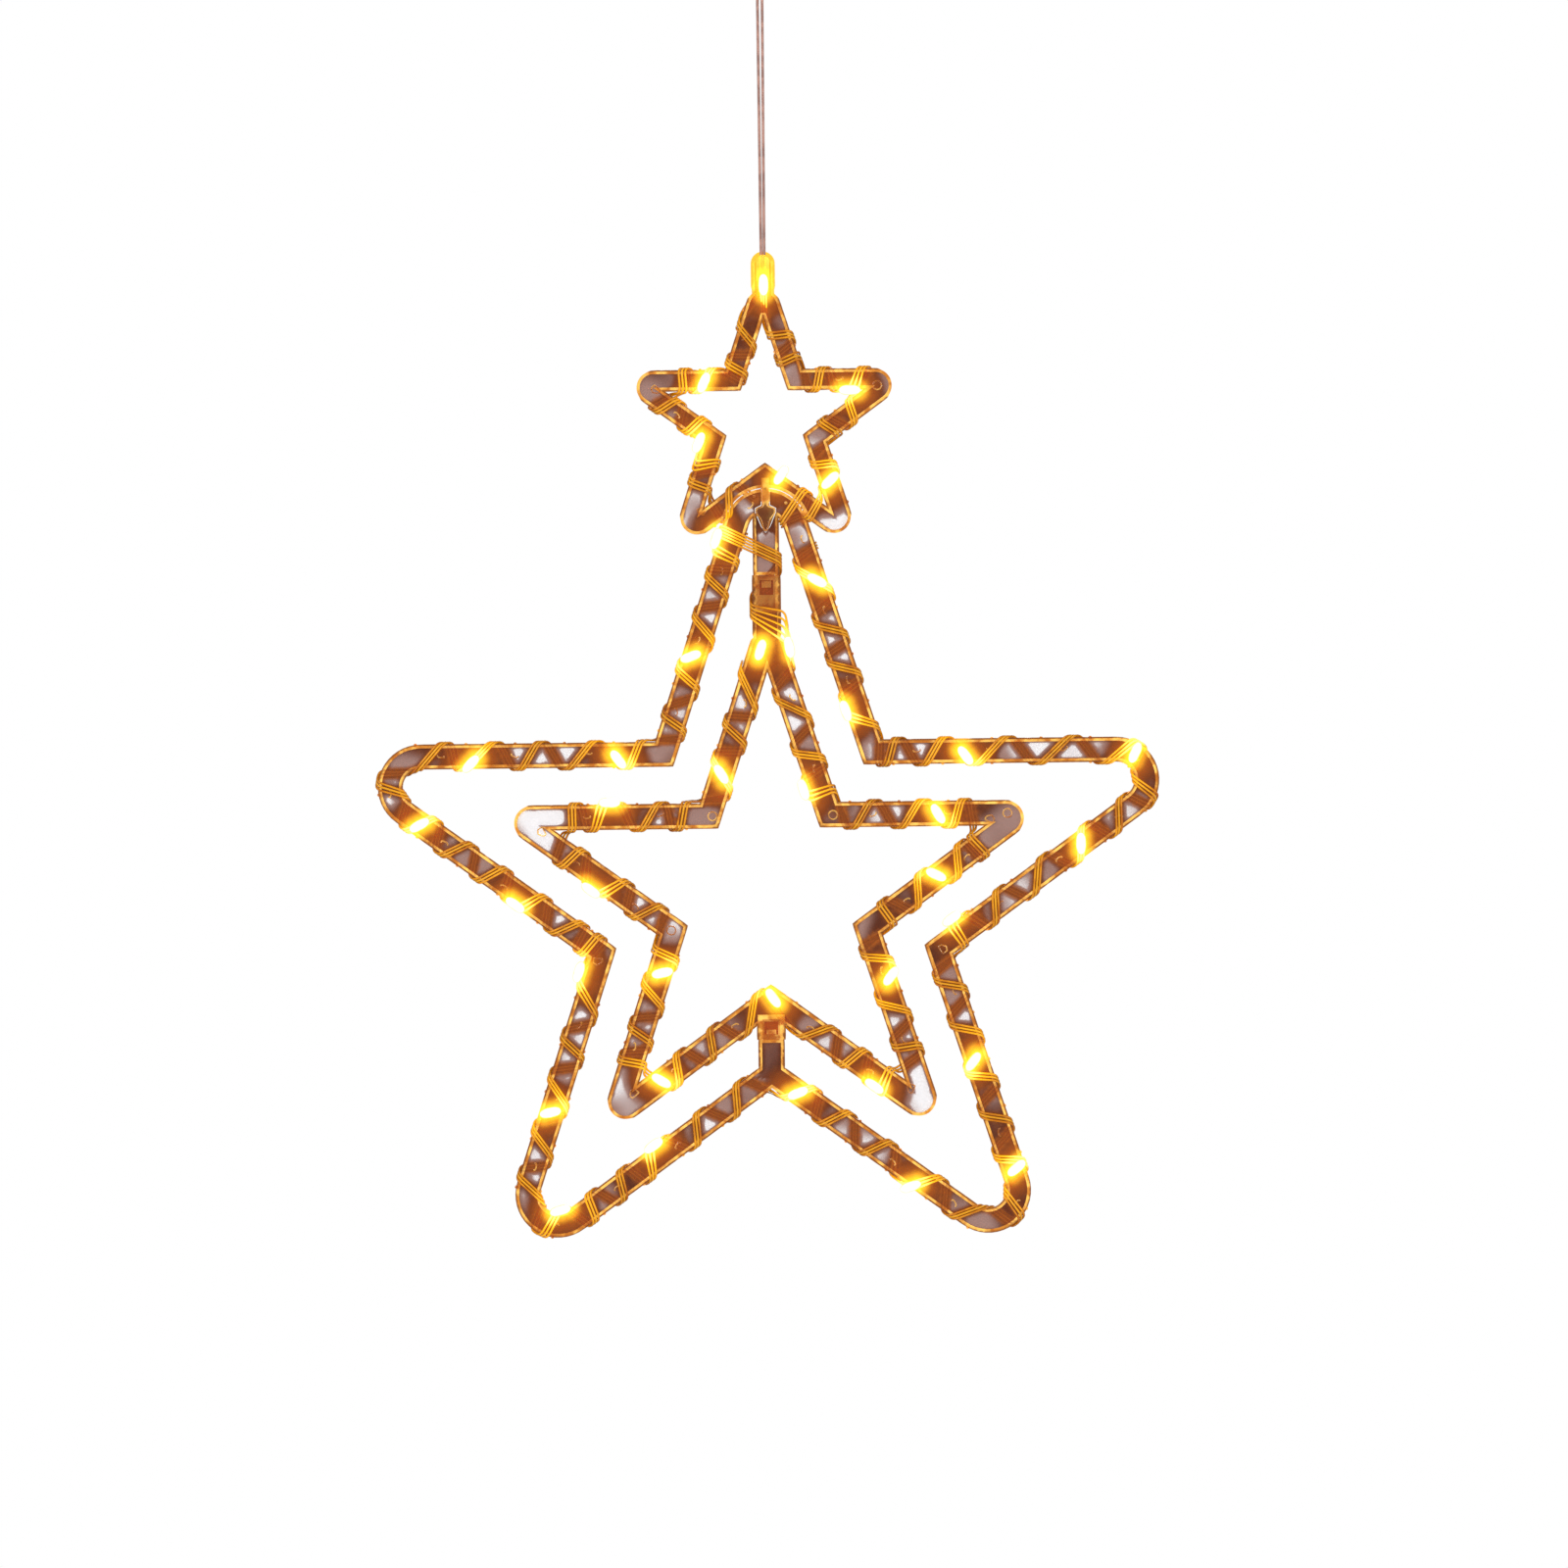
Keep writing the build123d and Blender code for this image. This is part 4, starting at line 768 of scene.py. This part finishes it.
def string_object(name, contacts, places, nodes, first=0, last=None):
    """The wires of a string between two contacts; cut ends lie on the pass over the back."""
    last = last or len(contacts)
    headings = np.array([(c.heading_x, 0.0, c.heading_z) for c in contacts])
    agree = np.sign(np.einsum("ij,ij->i", headings[1:], headings[:-1]) + 1e-6)
    headings[1:] *= np.cumprod(agree)[:, None]
    routes = []
    for place in places:
        points = wire_points(contacts, place)
        part = points[first:last]
        ways = headings[first:last]
        if first > 0:
            part = np.concatenate([(points[first - 1:first] + points[first:first + 1]) / 2, part])
            ways = np.concatenate([headings[first:first + 1], ways])
        if last < len(points):
            part = np.concatenate([part, (points[last - 1:last] + points[last:last + 1]) / 2])
            ways = np.concatenate([ways, headings[last:last + 1]])
        routes.append(rounded(part, ways, string_rounding))
    obj = tubes_object(name, routes, wire_diameter / 2, string_wire, wire_sides)
    # The wires carry the painted lamp glow
    glow, far_glow = lamp_light(mesh_points(obj.data))
    strand = [np.full(len(line) * wire_sides, shade) for (line, _), shade in zip(routes, strand_shades)]
    carry(obj, {"glow": glow, "far_glow": far_glow, "strand": np.concatenate(strand)})
    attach(obj, "star")
    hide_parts(*nodes)


string_object("outer_string", outer_contacts, three, numbered("outer_string", 1, 6))
string_object("inner_string", inner_contacts, three, numbered("inner_string", 1, 6), first=joint)
string_object("bar_string", inner_contacts, five, ["stem_string"], last=joint)
string_object("small_string_right", small_right_contacts, three, numbered("small_string", 1, 3))
string_object("small_string_left", small_left_contacts, three, numbered("small_string", 4, 3))


# Lamp drops
drop_rows = 15
drop_sides = 20


def drops_object(name, seats, nodes):
    """Long drops round each lamp's own line.

    At the share s of the half length the radius is r * (1 - |s|^3)^0.5, with s = cos of even angles.
    """
    share = np.cos(np.linspace(pi, 0, drop_rows))[1:-1, None, None]
    reach = lamp_radius * np.sqrt(1 - np.abs(share) ** 3.0)
    angle = np.linspace(0, 2 * pi, drop_sides, endpoint=False)[None, :, None]
    quads, first, last = ring_faces(len(share), drop_sides)
    tip = np.full(drop_sides, share.size * drop_sides)
    low_cap = np.stack([tip, np.roll(first, -1), first], axis=1)
    high_cap = np.stack([tip + 1, last, np.roll(last, -1)], axis=1)
    one_drop = [quads[:, ::-1], low_cap, high_cap]
    deep_way = np.array([0.0, -1.0, 0.0])
    points = []
    faces = []
    for (x, y, z), way in seats:
        start = sum(len(part) for part in points)
        place = np.array([x, star_y + y, star_z + z])
        long_way = np.array([way[0], 0.0, way[1]])
        flat_way = np.array([-way[1], 0.0, way[0]])
        round_way = np.cos(angle) * flat_way + np.sin(angle) * deep_way
        rings = place + lamp_half * share * long_way + reach * round_way
        ends = np.array([place - lamp_half * long_way, place + lamp_half * long_way])
        points.append(np.concatenate([rings.reshape(-1, 3), ends]))
        faces += [face for part in one_drop for face in (part + start).tolist()]
    obj = new_object(name, np.concatenate(points), faces, lamp_drop)
    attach(obj, "star")
    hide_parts(*nodes)


drops_object("outer_drops", outer_seats, ["outer_lamps"])
drops_object("inner_drops", inner_seats, ["inner_lamps"])
drops_object("small_drops", [*small_seats, lug_seat], ["small_lamps"])


# Frames: the CAD shapes, cut fine enough to carry the painted lamp light
def middle_line(star):
    """Points one millimetre apart along a band's middle line."""
    half = half_run(star)
    runs = np.arange(-half, half, 1.0)
    return [band_place(star, arm, run, 0)[:2] for arm in range(arms) for run in runs]


def string_middles(contacts, steps=9):
    """Points along the middle wire of a string, a few for each pass."""
    points = wire_points(contacts, 0)
    shares = np.linspace(0, 1, steps, endpoint=False)[None, :, None]
    return (points[:-1][:, None] * (1 - shares) + points[1:][:, None] * shares).reshape(-1, 3)


def upright_line(low, high):
    """Points one millimetre apart up the middle."""
    return [(0, z) for z in np.arange(low, high, 1.0)]


all_strings = np.concatenate([string_middles(contacts) for contacts in windings])
strings_in_front = all_strings[all_strings[:, 1] < star_y][:, [0, 2]] - (0, star_z)
strings_behind = all_strings[all_strings[:, 1] > star_y][:, [0, 2]] - (0, star_z)

# Upright pieces on the middle line: half width, low end and high end of each field
tab_top = small_rise - small_tip_radius * valley_share
tab_field = (4.6, tab_top - 19.4, tab_top - 7.0)
sleeve_field = (5.9, sleeve_mouth - 15.6, sleeve_mouth + 0.1)
sleeve_web_field = (5.0, sleeve_mouth - 15.6, sleeve_mouth + 0.1)
pillar_field = (6.2, -78.0, -50.0)
socket_field = (4.4, -pillar_mouth - 1.0, -pillar_mouth + 9.0)
lug_field = (lug_width, boss_low - 3.0, lug_top + lug_width)

# As far as they are seen as bands: bar, stem, pillar and lug
bands = np.array([
    *middle_line(outer), *middle_line(inner), *middle_line(small),
    *upright_line(sleeve_mouth - 15, arch_top - 8), *upright_line(inner_top - 6, sleeve_mouth - 4),
    *upright_line(-79.0, -54.0), *upright_line(small_rise + 50, lug_top - 5),
])


flat_angle = 0.02
join_gap = 0.005
most_cuts = 9


def fine_cut(work, longest):
    """Triangles whose edges are all shorter than a length."""
    bmesh.ops.triangulate(work, faces=work.faces)
    for _ in range(most_cuts):
        edges = [edge for edge in work.edges if edge.calc_length() > longest]
        if not edges:
            break
        bmesh.ops.subdivide_edges(work, edges=edges, cuts=1, use_grid_fill=False)
        bmesh.ops.triangulate(work, faces=[face for face in work.faces if len(face.verts) > 3])


def merged_copy(node, name, material, flat=flat_angle, longest=0):
    """A copy of a CAD node with its triangles joined and, where asked, flat areas made whole or cut fine."""
    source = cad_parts[node]
    mesh = source.data.copy()
    mesh.name = name
    mesh.transform(source.matrix_world)
    work = bmesh.new()
    work.from_mesh(mesh)
    bmesh.ops.remove_doubles(work, verts=work.verts, dist=join_gap * MM)
    if flat > 0:
        bmesh.ops.dissolve_limit(work, angle_limit=flat, verts=work.verts, edges=work.edges)
    if longest > 0:
        fine_cut(work, longest)
    work.to_mesh(mesh)
    work.free()
    mesh.materials.clear()
    mesh.materials.append(material)
    return add_object(name, mesh)


facet_length = 2.3
lug_glow = 0.5
edge_swell = 0.4
# Painted wire shade: the plastic stays brown within this reach of a wire and clears over the fade beyond it
shade_reach = 1.4
shade_fade = 3.0
open_share = 0.95
open_fade_share = 0.45
rim_start = 0.75
rim_fade = 0.9
edge_share = 0.9
edge_fade_share = 0.08
tab_rim_share = 0.1
sleeve_rim_share = 0.3
pillar_open_share = 0.25
sleeve_wire_glow_share = 0.8
back_reach = 2.9
back_fade = 1.2


def inside(flat, half_width, low, high):
    """Which points lie in an upright field about the middle line."""
    return (np.abs(flat[:, 0]) < half_width) & (flat[:, 1] > low) & (flat[:, 1] < high)


def frame_values(points, band):
    """What a frame's points carry: painted lamp light, opening, rim, verge and the glow of wires behind,
    each between 0 and 1.

    opening grows with the distance to wires and edges, so painted wire shade keeps the plastic brown beside
    the wires;
    rim, the share of painted rim glow, grows with the depth from the web and towards the edges, verge is the
    outermost wall, and the painted glow of wires seen through the plastic marks where a string runs on the
    other side.
    """
    flat = points[:, [0, 2]] - (0, star_z)
    depth = np.abs(points[:, 1] - star_y)
    across = near_distance(flat, bands) / (band / 2)
    to_wire = near_distance(points[:, [0, 2]], all_strings[:, [0, 2]])
    to_back = near_distance(flat, strings_behind)
    to_front = near_distance(flat, strings_in_front)
    other_side = np.where(points[:, 1] < star_y, to_back, to_front)
    at_edge = np.clip((across - edge_share) / edge_fade_share, 0, 1)
    on_tab = inside(flat, *tab_field)
    on_sleeve = inside(flat, *sleeve_field)
    on_sleeve_web = inside(flat, *sleeve_web_field)
    on_pillar = inside(flat, *pillar_field)
    in_socket = inside(flat, *socket_field)
    in_lug = inside(flat, *lug_field)
    glow, far_glow = lamp_light(points)
    # Painted glow of the lug's own lamp, over the whole lug
    glow = np.where(in_lug, np.maximum(glow, lug_glow), glow)
    # Clear windows only away from the wires, where painted wire shade keeps the plastic brown, and away from
    # the edges
    opening = np.clip((to_wire - shade_reach) / shade_fade, 0, 1)
    opening = opening * np.clip((open_share - across) / open_fade_share, 0, 1)
    opening = np.where(on_pillar, pillar_open_share * opening, opening)
    opening = np.where(on_tab | on_sleeve, 0, opening)
    rim = np.maximum(np.clip((depth - rim_start) / rim_fade, 0, 1), at_edge)
    rim = np.where(on_tab, rim * tab_rim_share, rim)
    rim = np.where(on_sleeve_web, rim * sleeve_rim_share, rim)
    # Painted glow of the wires seen through the plastic: where a string runs on the other side, on the
    # sleeve and in the socket
    wire_glow_behind = np.clip((back_reach - other_side) / back_fade, 0, 1)
    wire_glow_behind = np.maximum(wire_glow_behind, np.maximum(sleeve_wire_glow_share * on_sleeve, in_socket))
    values = {"verge": at_edge * (depth > rim_start), "wire_glow_behind": wire_glow_behind, "glow": glow, "far_glow": far_glow}
    return values | {"opening": opening, "rim": rim}, at_edge


def frame_object(node, name, band):
    """A star's frame from its CAD node, with its carried values and its outer walls a little further out."""
    obj = merged_copy(node, name, star_plastic, longest=facet_length * MM)
    mesh = obj.data
    points = mesh_points(mesh)
    values, at_edge = frame_values(points, band)
    carry(obj, values)
    normals = np.empty(len(mesh.vertices) * 3)
    mesh.vertices.foreach_get("normal", normals)
    spread = normals.reshape(-1, 3) * (1, 0, 1) * at_edge[:, None]
    mesh.vertices.foreach_set("co", ((points + spread * edge_swell) * MM).ravel())
    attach(obj, "star")
    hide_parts(node)


frame_object("outer_star_frame", "outer_band", outer_band)
frame_object("inner_star_frame", "inner_band", inner_band)
frame_object("small_star_frame", "small_band", small_band)


# Small moulded marks: nubs along the edges, hooked ribs and gate marks on the webs, and ejector circles
nub_radius = 0.75
nub_pitch = 21.1
nub_first = 9.0
nub_last = 6.0
nub_tip_gap = 12
nub_rise = 0.15
nub_sides = 10
nub_depths = (-1.6, -1.3, 1.3, 1.6)
nub_width_shares = (0.6, 1.0, 1.0, 0.6)


def mark_finish(obj, rim, least_glow=0):
    """Give a small mark the frame's painted lamp glow, a share of the painted rim glow and none of the other
    values.
    """
    glow, far_glow = lamp_light(mesh_points(obj.data))
    none = np.zeros(len(glow))
    carry(obj, {"glow": np.maximum(glow, least_glow), "far_glow": far_glow, "rim": none + rim})
    carry(obj, {"opening": none, "wire_glow_behind": none, "verge": none})
    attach(obj, "star")


def nub_places(star):
    """Places just off both edges of a band, a nub pitch apart, clear of the tips and valleys."""
    half = half_run(star)
    places = []
    for arm in range(arms):
        for run in np.arange(-half + nub_first, half - nub_last, nub_pitch):
            for side in (-1, 1):
                clear = max(crotch_gap(star), nub_tip_gap) if side < 0 else nub_tip_gap
                if star.tip_arc == 0 and abs(run) < clear:
                    continue
                places.append(band_place(star, arm, float(run), side * (star.band / 2 + nub_rise))[:2])
    return places


def nubs_object(name, places):
    """Short round pegs across the edge: radius r * share at each depth, less at both ends."""
    angle = np.linspace(0, 2 * pi, nub_sides, endpoint=False)
    widths = np.array(nub_width_shares) * nub_radius
    x = np.cos(angle)[None] * widths[:, None]
    z = np.sin(angle)[None] * widths[:, None]
    y = np.broadcast_to(np.array(nub_depths)[:, None], x.shape)
    peg = np.stack([x, y, z], axis=2).reshape(-1, 3)
    quads, first, last = ring_faces(len(nub_depths), nub_sides)
    points = np.concatenate([peg + (px, star_y, star_z + pz) for px, pz in places])
    faces = []
    for start in range(0, len(points), len(peg)):
        faces += (quads + start).tolist() + [(first + start).tolist(), (last[::-1] + start).tolist()]
    mark_finish(new_object(name, points, faces, star_plastic), 1.0)


# Outlines of the marks in millimetres, and their places in the picture
hook_shape = [(-1.9, 0.9), (-1.7, 0.1), (-0.7, -0.3), (1.0, -0.2), (2.0, 0.2), (1.9, 1.1)]
gate_shape = [(-1.4, -1.6), (-1.9, 0.9), (-0.3, 2.2), (1.9, 1.3), (1.1, -0.6), (0.2, -2.3), (-1.2, -1.8)]
ring_radius = 1.9
ring_shape = [(ring_radius * cos(a), ring_radius * sin(a)) for a in np.linspace(0, 2 * pi, 17)]
tab_half = [
    (1.8, 7.9), (1.75, 2.2), (0.8, 0.6), (1.3, -0.5), (3.7, -1.2), (4.4, -2.5),
    (3.8, -4.1), (2.3, -5.9), (1.6, -7.7), (1.15, -10.1), (0.5, -11.4),
]
tab_shape = [(-x, z) for x, z in tab_half] + tab_half[::-1]
gate_pixels = [
    (553, 846), (647, 1114), (930, 1112), (1010, 838), (962, 970), (610, 978), (669, 396), (716, 520),
]
ring_pixels = [(727, 832), (850, 832), (1028, 832), (685, 948), (895, 394)]
web_front = star_y - web_thickness / 2
rib_radius = 0.33
rib_sides = 6
rib_sink = 0.05
rib_rounding = 0.35
rib_first = 19.0
rib_last = 12.0
rib_tip_gap = 20
rib_drift = 0.8
rib_turn = 0.5
hook_scale = 0.8
gate_scale = 0.9
tab_scale = 0.94
tab_drop = 7.6
tab_edge_radius = 0.35


def rib_route(shape, place, turned, size=1.0, y=web_front - rib_sink):
    """A small rib's line at a depth: its shape turned and moved to its place."""
    shape = np.array(shape) * size
    x = shape[:, 0] * cos(turned) - shape[:, 1] * sin(turned) + place[0]
    z = shape[:, 0] * sin(turned) + shape[:, 1] * cos(turned) + place[1]
    points = np.stack([x, np.full(len(x), y), star_z + z], axis=1)
    return rounded(points, np.tile((0.0, 1.0, 0.0), (len(x), 1)), rib_rounding * size)


def ribs_object(name, star, gates, rings):
    """Hooked ribs along a band's middle line, and gate marks and ejector circles at their picture places."""
    half = half_run(star)
    routes = []
    for arm in range(arms):
        for run in np.arange(-half + rib_first, half - rib_last, nub_pitch * 1.5):
            if star.tip_arc == 0 and abs(run) < rib_tip_gap:
                continue
            side = float(rng.uniform(-rib_drift, rib_drift))
            x, z, way_x, way_z = band_place(star, arm, float(run), side)
            turned = np.arctan2(way_z, way_x) + float(rng.uniform(-rib_turn, rib_turn))
            routes.append(rib_route(hook_shape, (x, z), turned, hook_scale))
    for pixel in gates:
        turned = float(rng.uniform(0, 2 * pi))
        routes.append(rib_route(gate_shape, picture_place(pixel), turned, gate_scale))
    routes += [rib_route(ring_shape, picture_place(pixel), 0.0) for pixel in rings]
    mark_finish(tubes_object(name, routes, rib_radius, star_plastic, rib_sides), 0.9)


# The marks take the painted rim glow, as small bright highlights
nubs_object("outer_nubs", nub_places(outer))
nubs_object("inner_nubs", nub_places(inner))
nubs_object("small_nubs", nub_places(small))
ribs_object("outer_ribs", outer, gate_pixels[4:6], [])
ribs_object("inner_ribs", inner, gate_pixels[:4], ring_pixels[:4])
ribs_object("small_ribs", small, gate_pixels[6:], ring_pixels[4:])
# The tab's outline: painted rim glow, and painted lamp glow of at least 0.3
tab_route = rib_route(tab_shape, (0.0, tab_top - tab_drop), 0.0, tab_scale, star_y - rim_depth / 2)
mark_finish(tubes_object("tab_edge", [tab_route], tab_edge_radius, star_plastic, rib_sides), 1.0, 0.3)


# Lead: two cores that draw together a little from the grip's throat to their ends in the lug
lead_run_in = 7.5
core_offset_top = 1.05
core_offset_low = 0.65


def lead_core(node, side):
    """One insulated core of the lead, on the points of its CAD route."""
    top = np.array([side * core_offset_top, lead_axis_y, throat_z])
    low = np.array([side * core_offset_low, lead_axis_y, lead_low_z])
    length = float(np.linalg.norm(low - top))
    way = (low - top) / length
    route = [top, top + lead_run_in * way, (top + low) / 2, low - lead_run_in * way, low]
    curve = bpy.data.curves.new(f"{node}_wire", "CURVE")
    curve.dimensions = "3D"
    curve.bevel_depth = lead_core_diameter / 2 * MM
    curve.bevel_resolution = 4
    curve.resolution_u = 24
    curve.use_fill_caps = True
    spline = curve.splines.new("NURBS")
    spline.points.add(len(route) - 1)
    for point, place in zip(spline.points, route):
        point.co = (*(place * MM), 1.0)
    spline.order_u = 3
    spline.use_endpoint_u = True
    curve.materials.append(lead_wire)
    core = add_object(f"{node}_wire", curve)
    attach(core, "lead")
    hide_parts(node)


lead_core("lead_core_left", -1)
lead_core("lead_core_right", 1)


# Box, contents and fixing: the CAD shapes, most with rounded edges
rounding_angle = 0.6
sharp_angle = 0.55


def rounded_copy(node, body, slot, material, width):
    """A merged copy of a CAD node with its sharp edges rounded by a width in millimetres."""
    obj = merged_copy(node, f"{node}_finished", material, flat_angle if width > 0 else 0)
    if width > 0:
        bevel = obj.modifiers.new("rounded edges", "BEVEL")
        bevel.width = width * MM
        bevel.segments = 2
        bevel.limit_method = "ANGLE"
        bevel.angle_limit = rounding_angle
        bevel.harden_normals = True
    obj.data.polygons.foreach_set("use_smooth", np.full(len(obj.data.polygons), True))
    obj.data.set_sharp_from_angle(angle=sharp_angle)
    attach(obj, body)
    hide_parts(node)


for finish in [
    ("suction_cup", "window_hook", "cup_vinyl", cup_vinyl, 0.3),
    ("cup_hook", "window_hook", "hook_plastic", hook_plastic, 0.3),
    ("box_case", "battery_box", "box_plastic", box_plastic, 0.0),
    ("board_cover", "battery_box", "box_plastic", box_plastic, 0.2),
    ("battery_lid", "lid", "box_plastic", box_plastic, 0.2),
    ("cover_screws", "battery_box", "plain_steel", cell_metal, 0.1),
    ("contact_plates", "battery_box", "contact_metal", contact_metal, 0.08),
    ("contact_springs", "battery_box", "contact_metal", contact_metal, 0.0),
    ("circuit_board", "battery_box", "board_green", board_green, 0.08),
    ("timer_chip", "battery_box", "chip_black", chip_black, 0.1),
    ("switch_body", "battery_box", "chip_black", chip_black, 0.15),
    ("switch_slider", "slider", "chip_black", knob_black, 0.2),
    ("cable_grip", "battery_box", "grip_rubber", grip_rubber, 0.2),
    ("board_wires", "battery_box", "lead_wire", lead_copper, 0.0),
    ("cell_left", "battery_box", "cell_jacket", cell_jacket, 0.2),
    ("cell_middle", "battery_box", "cell_jacket", cell_jacket, 0.2),
    ("cell_right", "battery_box", "cell_jacket", cell_jacket, 0.2),
]:
    rounded_copy(*finish)


# Floor, light and background
floor_z = -900.0
floor_half_width = 1500.0
floor_front = -1700.0
floor_back = 500.0
floor_material, tree, shader, node = new_material("floor")
settle(tree, shader, {"Base Color": (0.93, 0.93, 0.93, 1.0), "Roughness": 0.6})
corners = [(-1, floor_front), (1, floor_front), (1, floor_back), (-1, floor_back)]
floor_points = np.array([(side * floor_half_width, y, floor_z) for side, y in corners])
floor = new_object("floor", floor_points, [(0, 1, 2, 3)], floor_material, smooth=False)


light_target = Vector((0.0, -0.02, -0.40))


def soft_light(name, place, size, power):
    """A large square lamp that points at the middle of the object."""
    data = bpy.data.lights.new(name, "AREA")
    data.size = size
    data.energy = power
    light = add_object(name, data)
    light.location = place
    light.rotation_euler = (light_target - Vector(place)).to_track_quat("-Z", "Y").to_euler()


soft_light("key", place=(-1.2, -1.9, 0.6), size=1.2, power=26.0)
soft_light("fill", place=(1.5, -1.7, 0.0), size=1.4, power=14.0)
soft_light("back", place=(0.4, 1.6, 0.7), size=1.2, power=12.0)

room_grey = (0.55, 0.55, 0.56, 1.0)
white = (1.0, 1.0, 1.0, 1.0)
world = bpy.data.worlds.new("studio")
bpy.context.scene.world = world
world.use_nodes = True
tree = world.node_tree
background = tree.nodes["Background"]
path = tree.nodes.new("ShaderNodeLightPath")
seen = maths(tree, "MAXIMUM", path.outputs["Is Camera Ray"], path.outputs["Is Transmission Ray"])
settle(tree, background, {"Color": blend_colours(tree, seen, room_grey, white), "Strength": 1.0})
bpy.context.scene.view_settings.view_transform = "Standard"
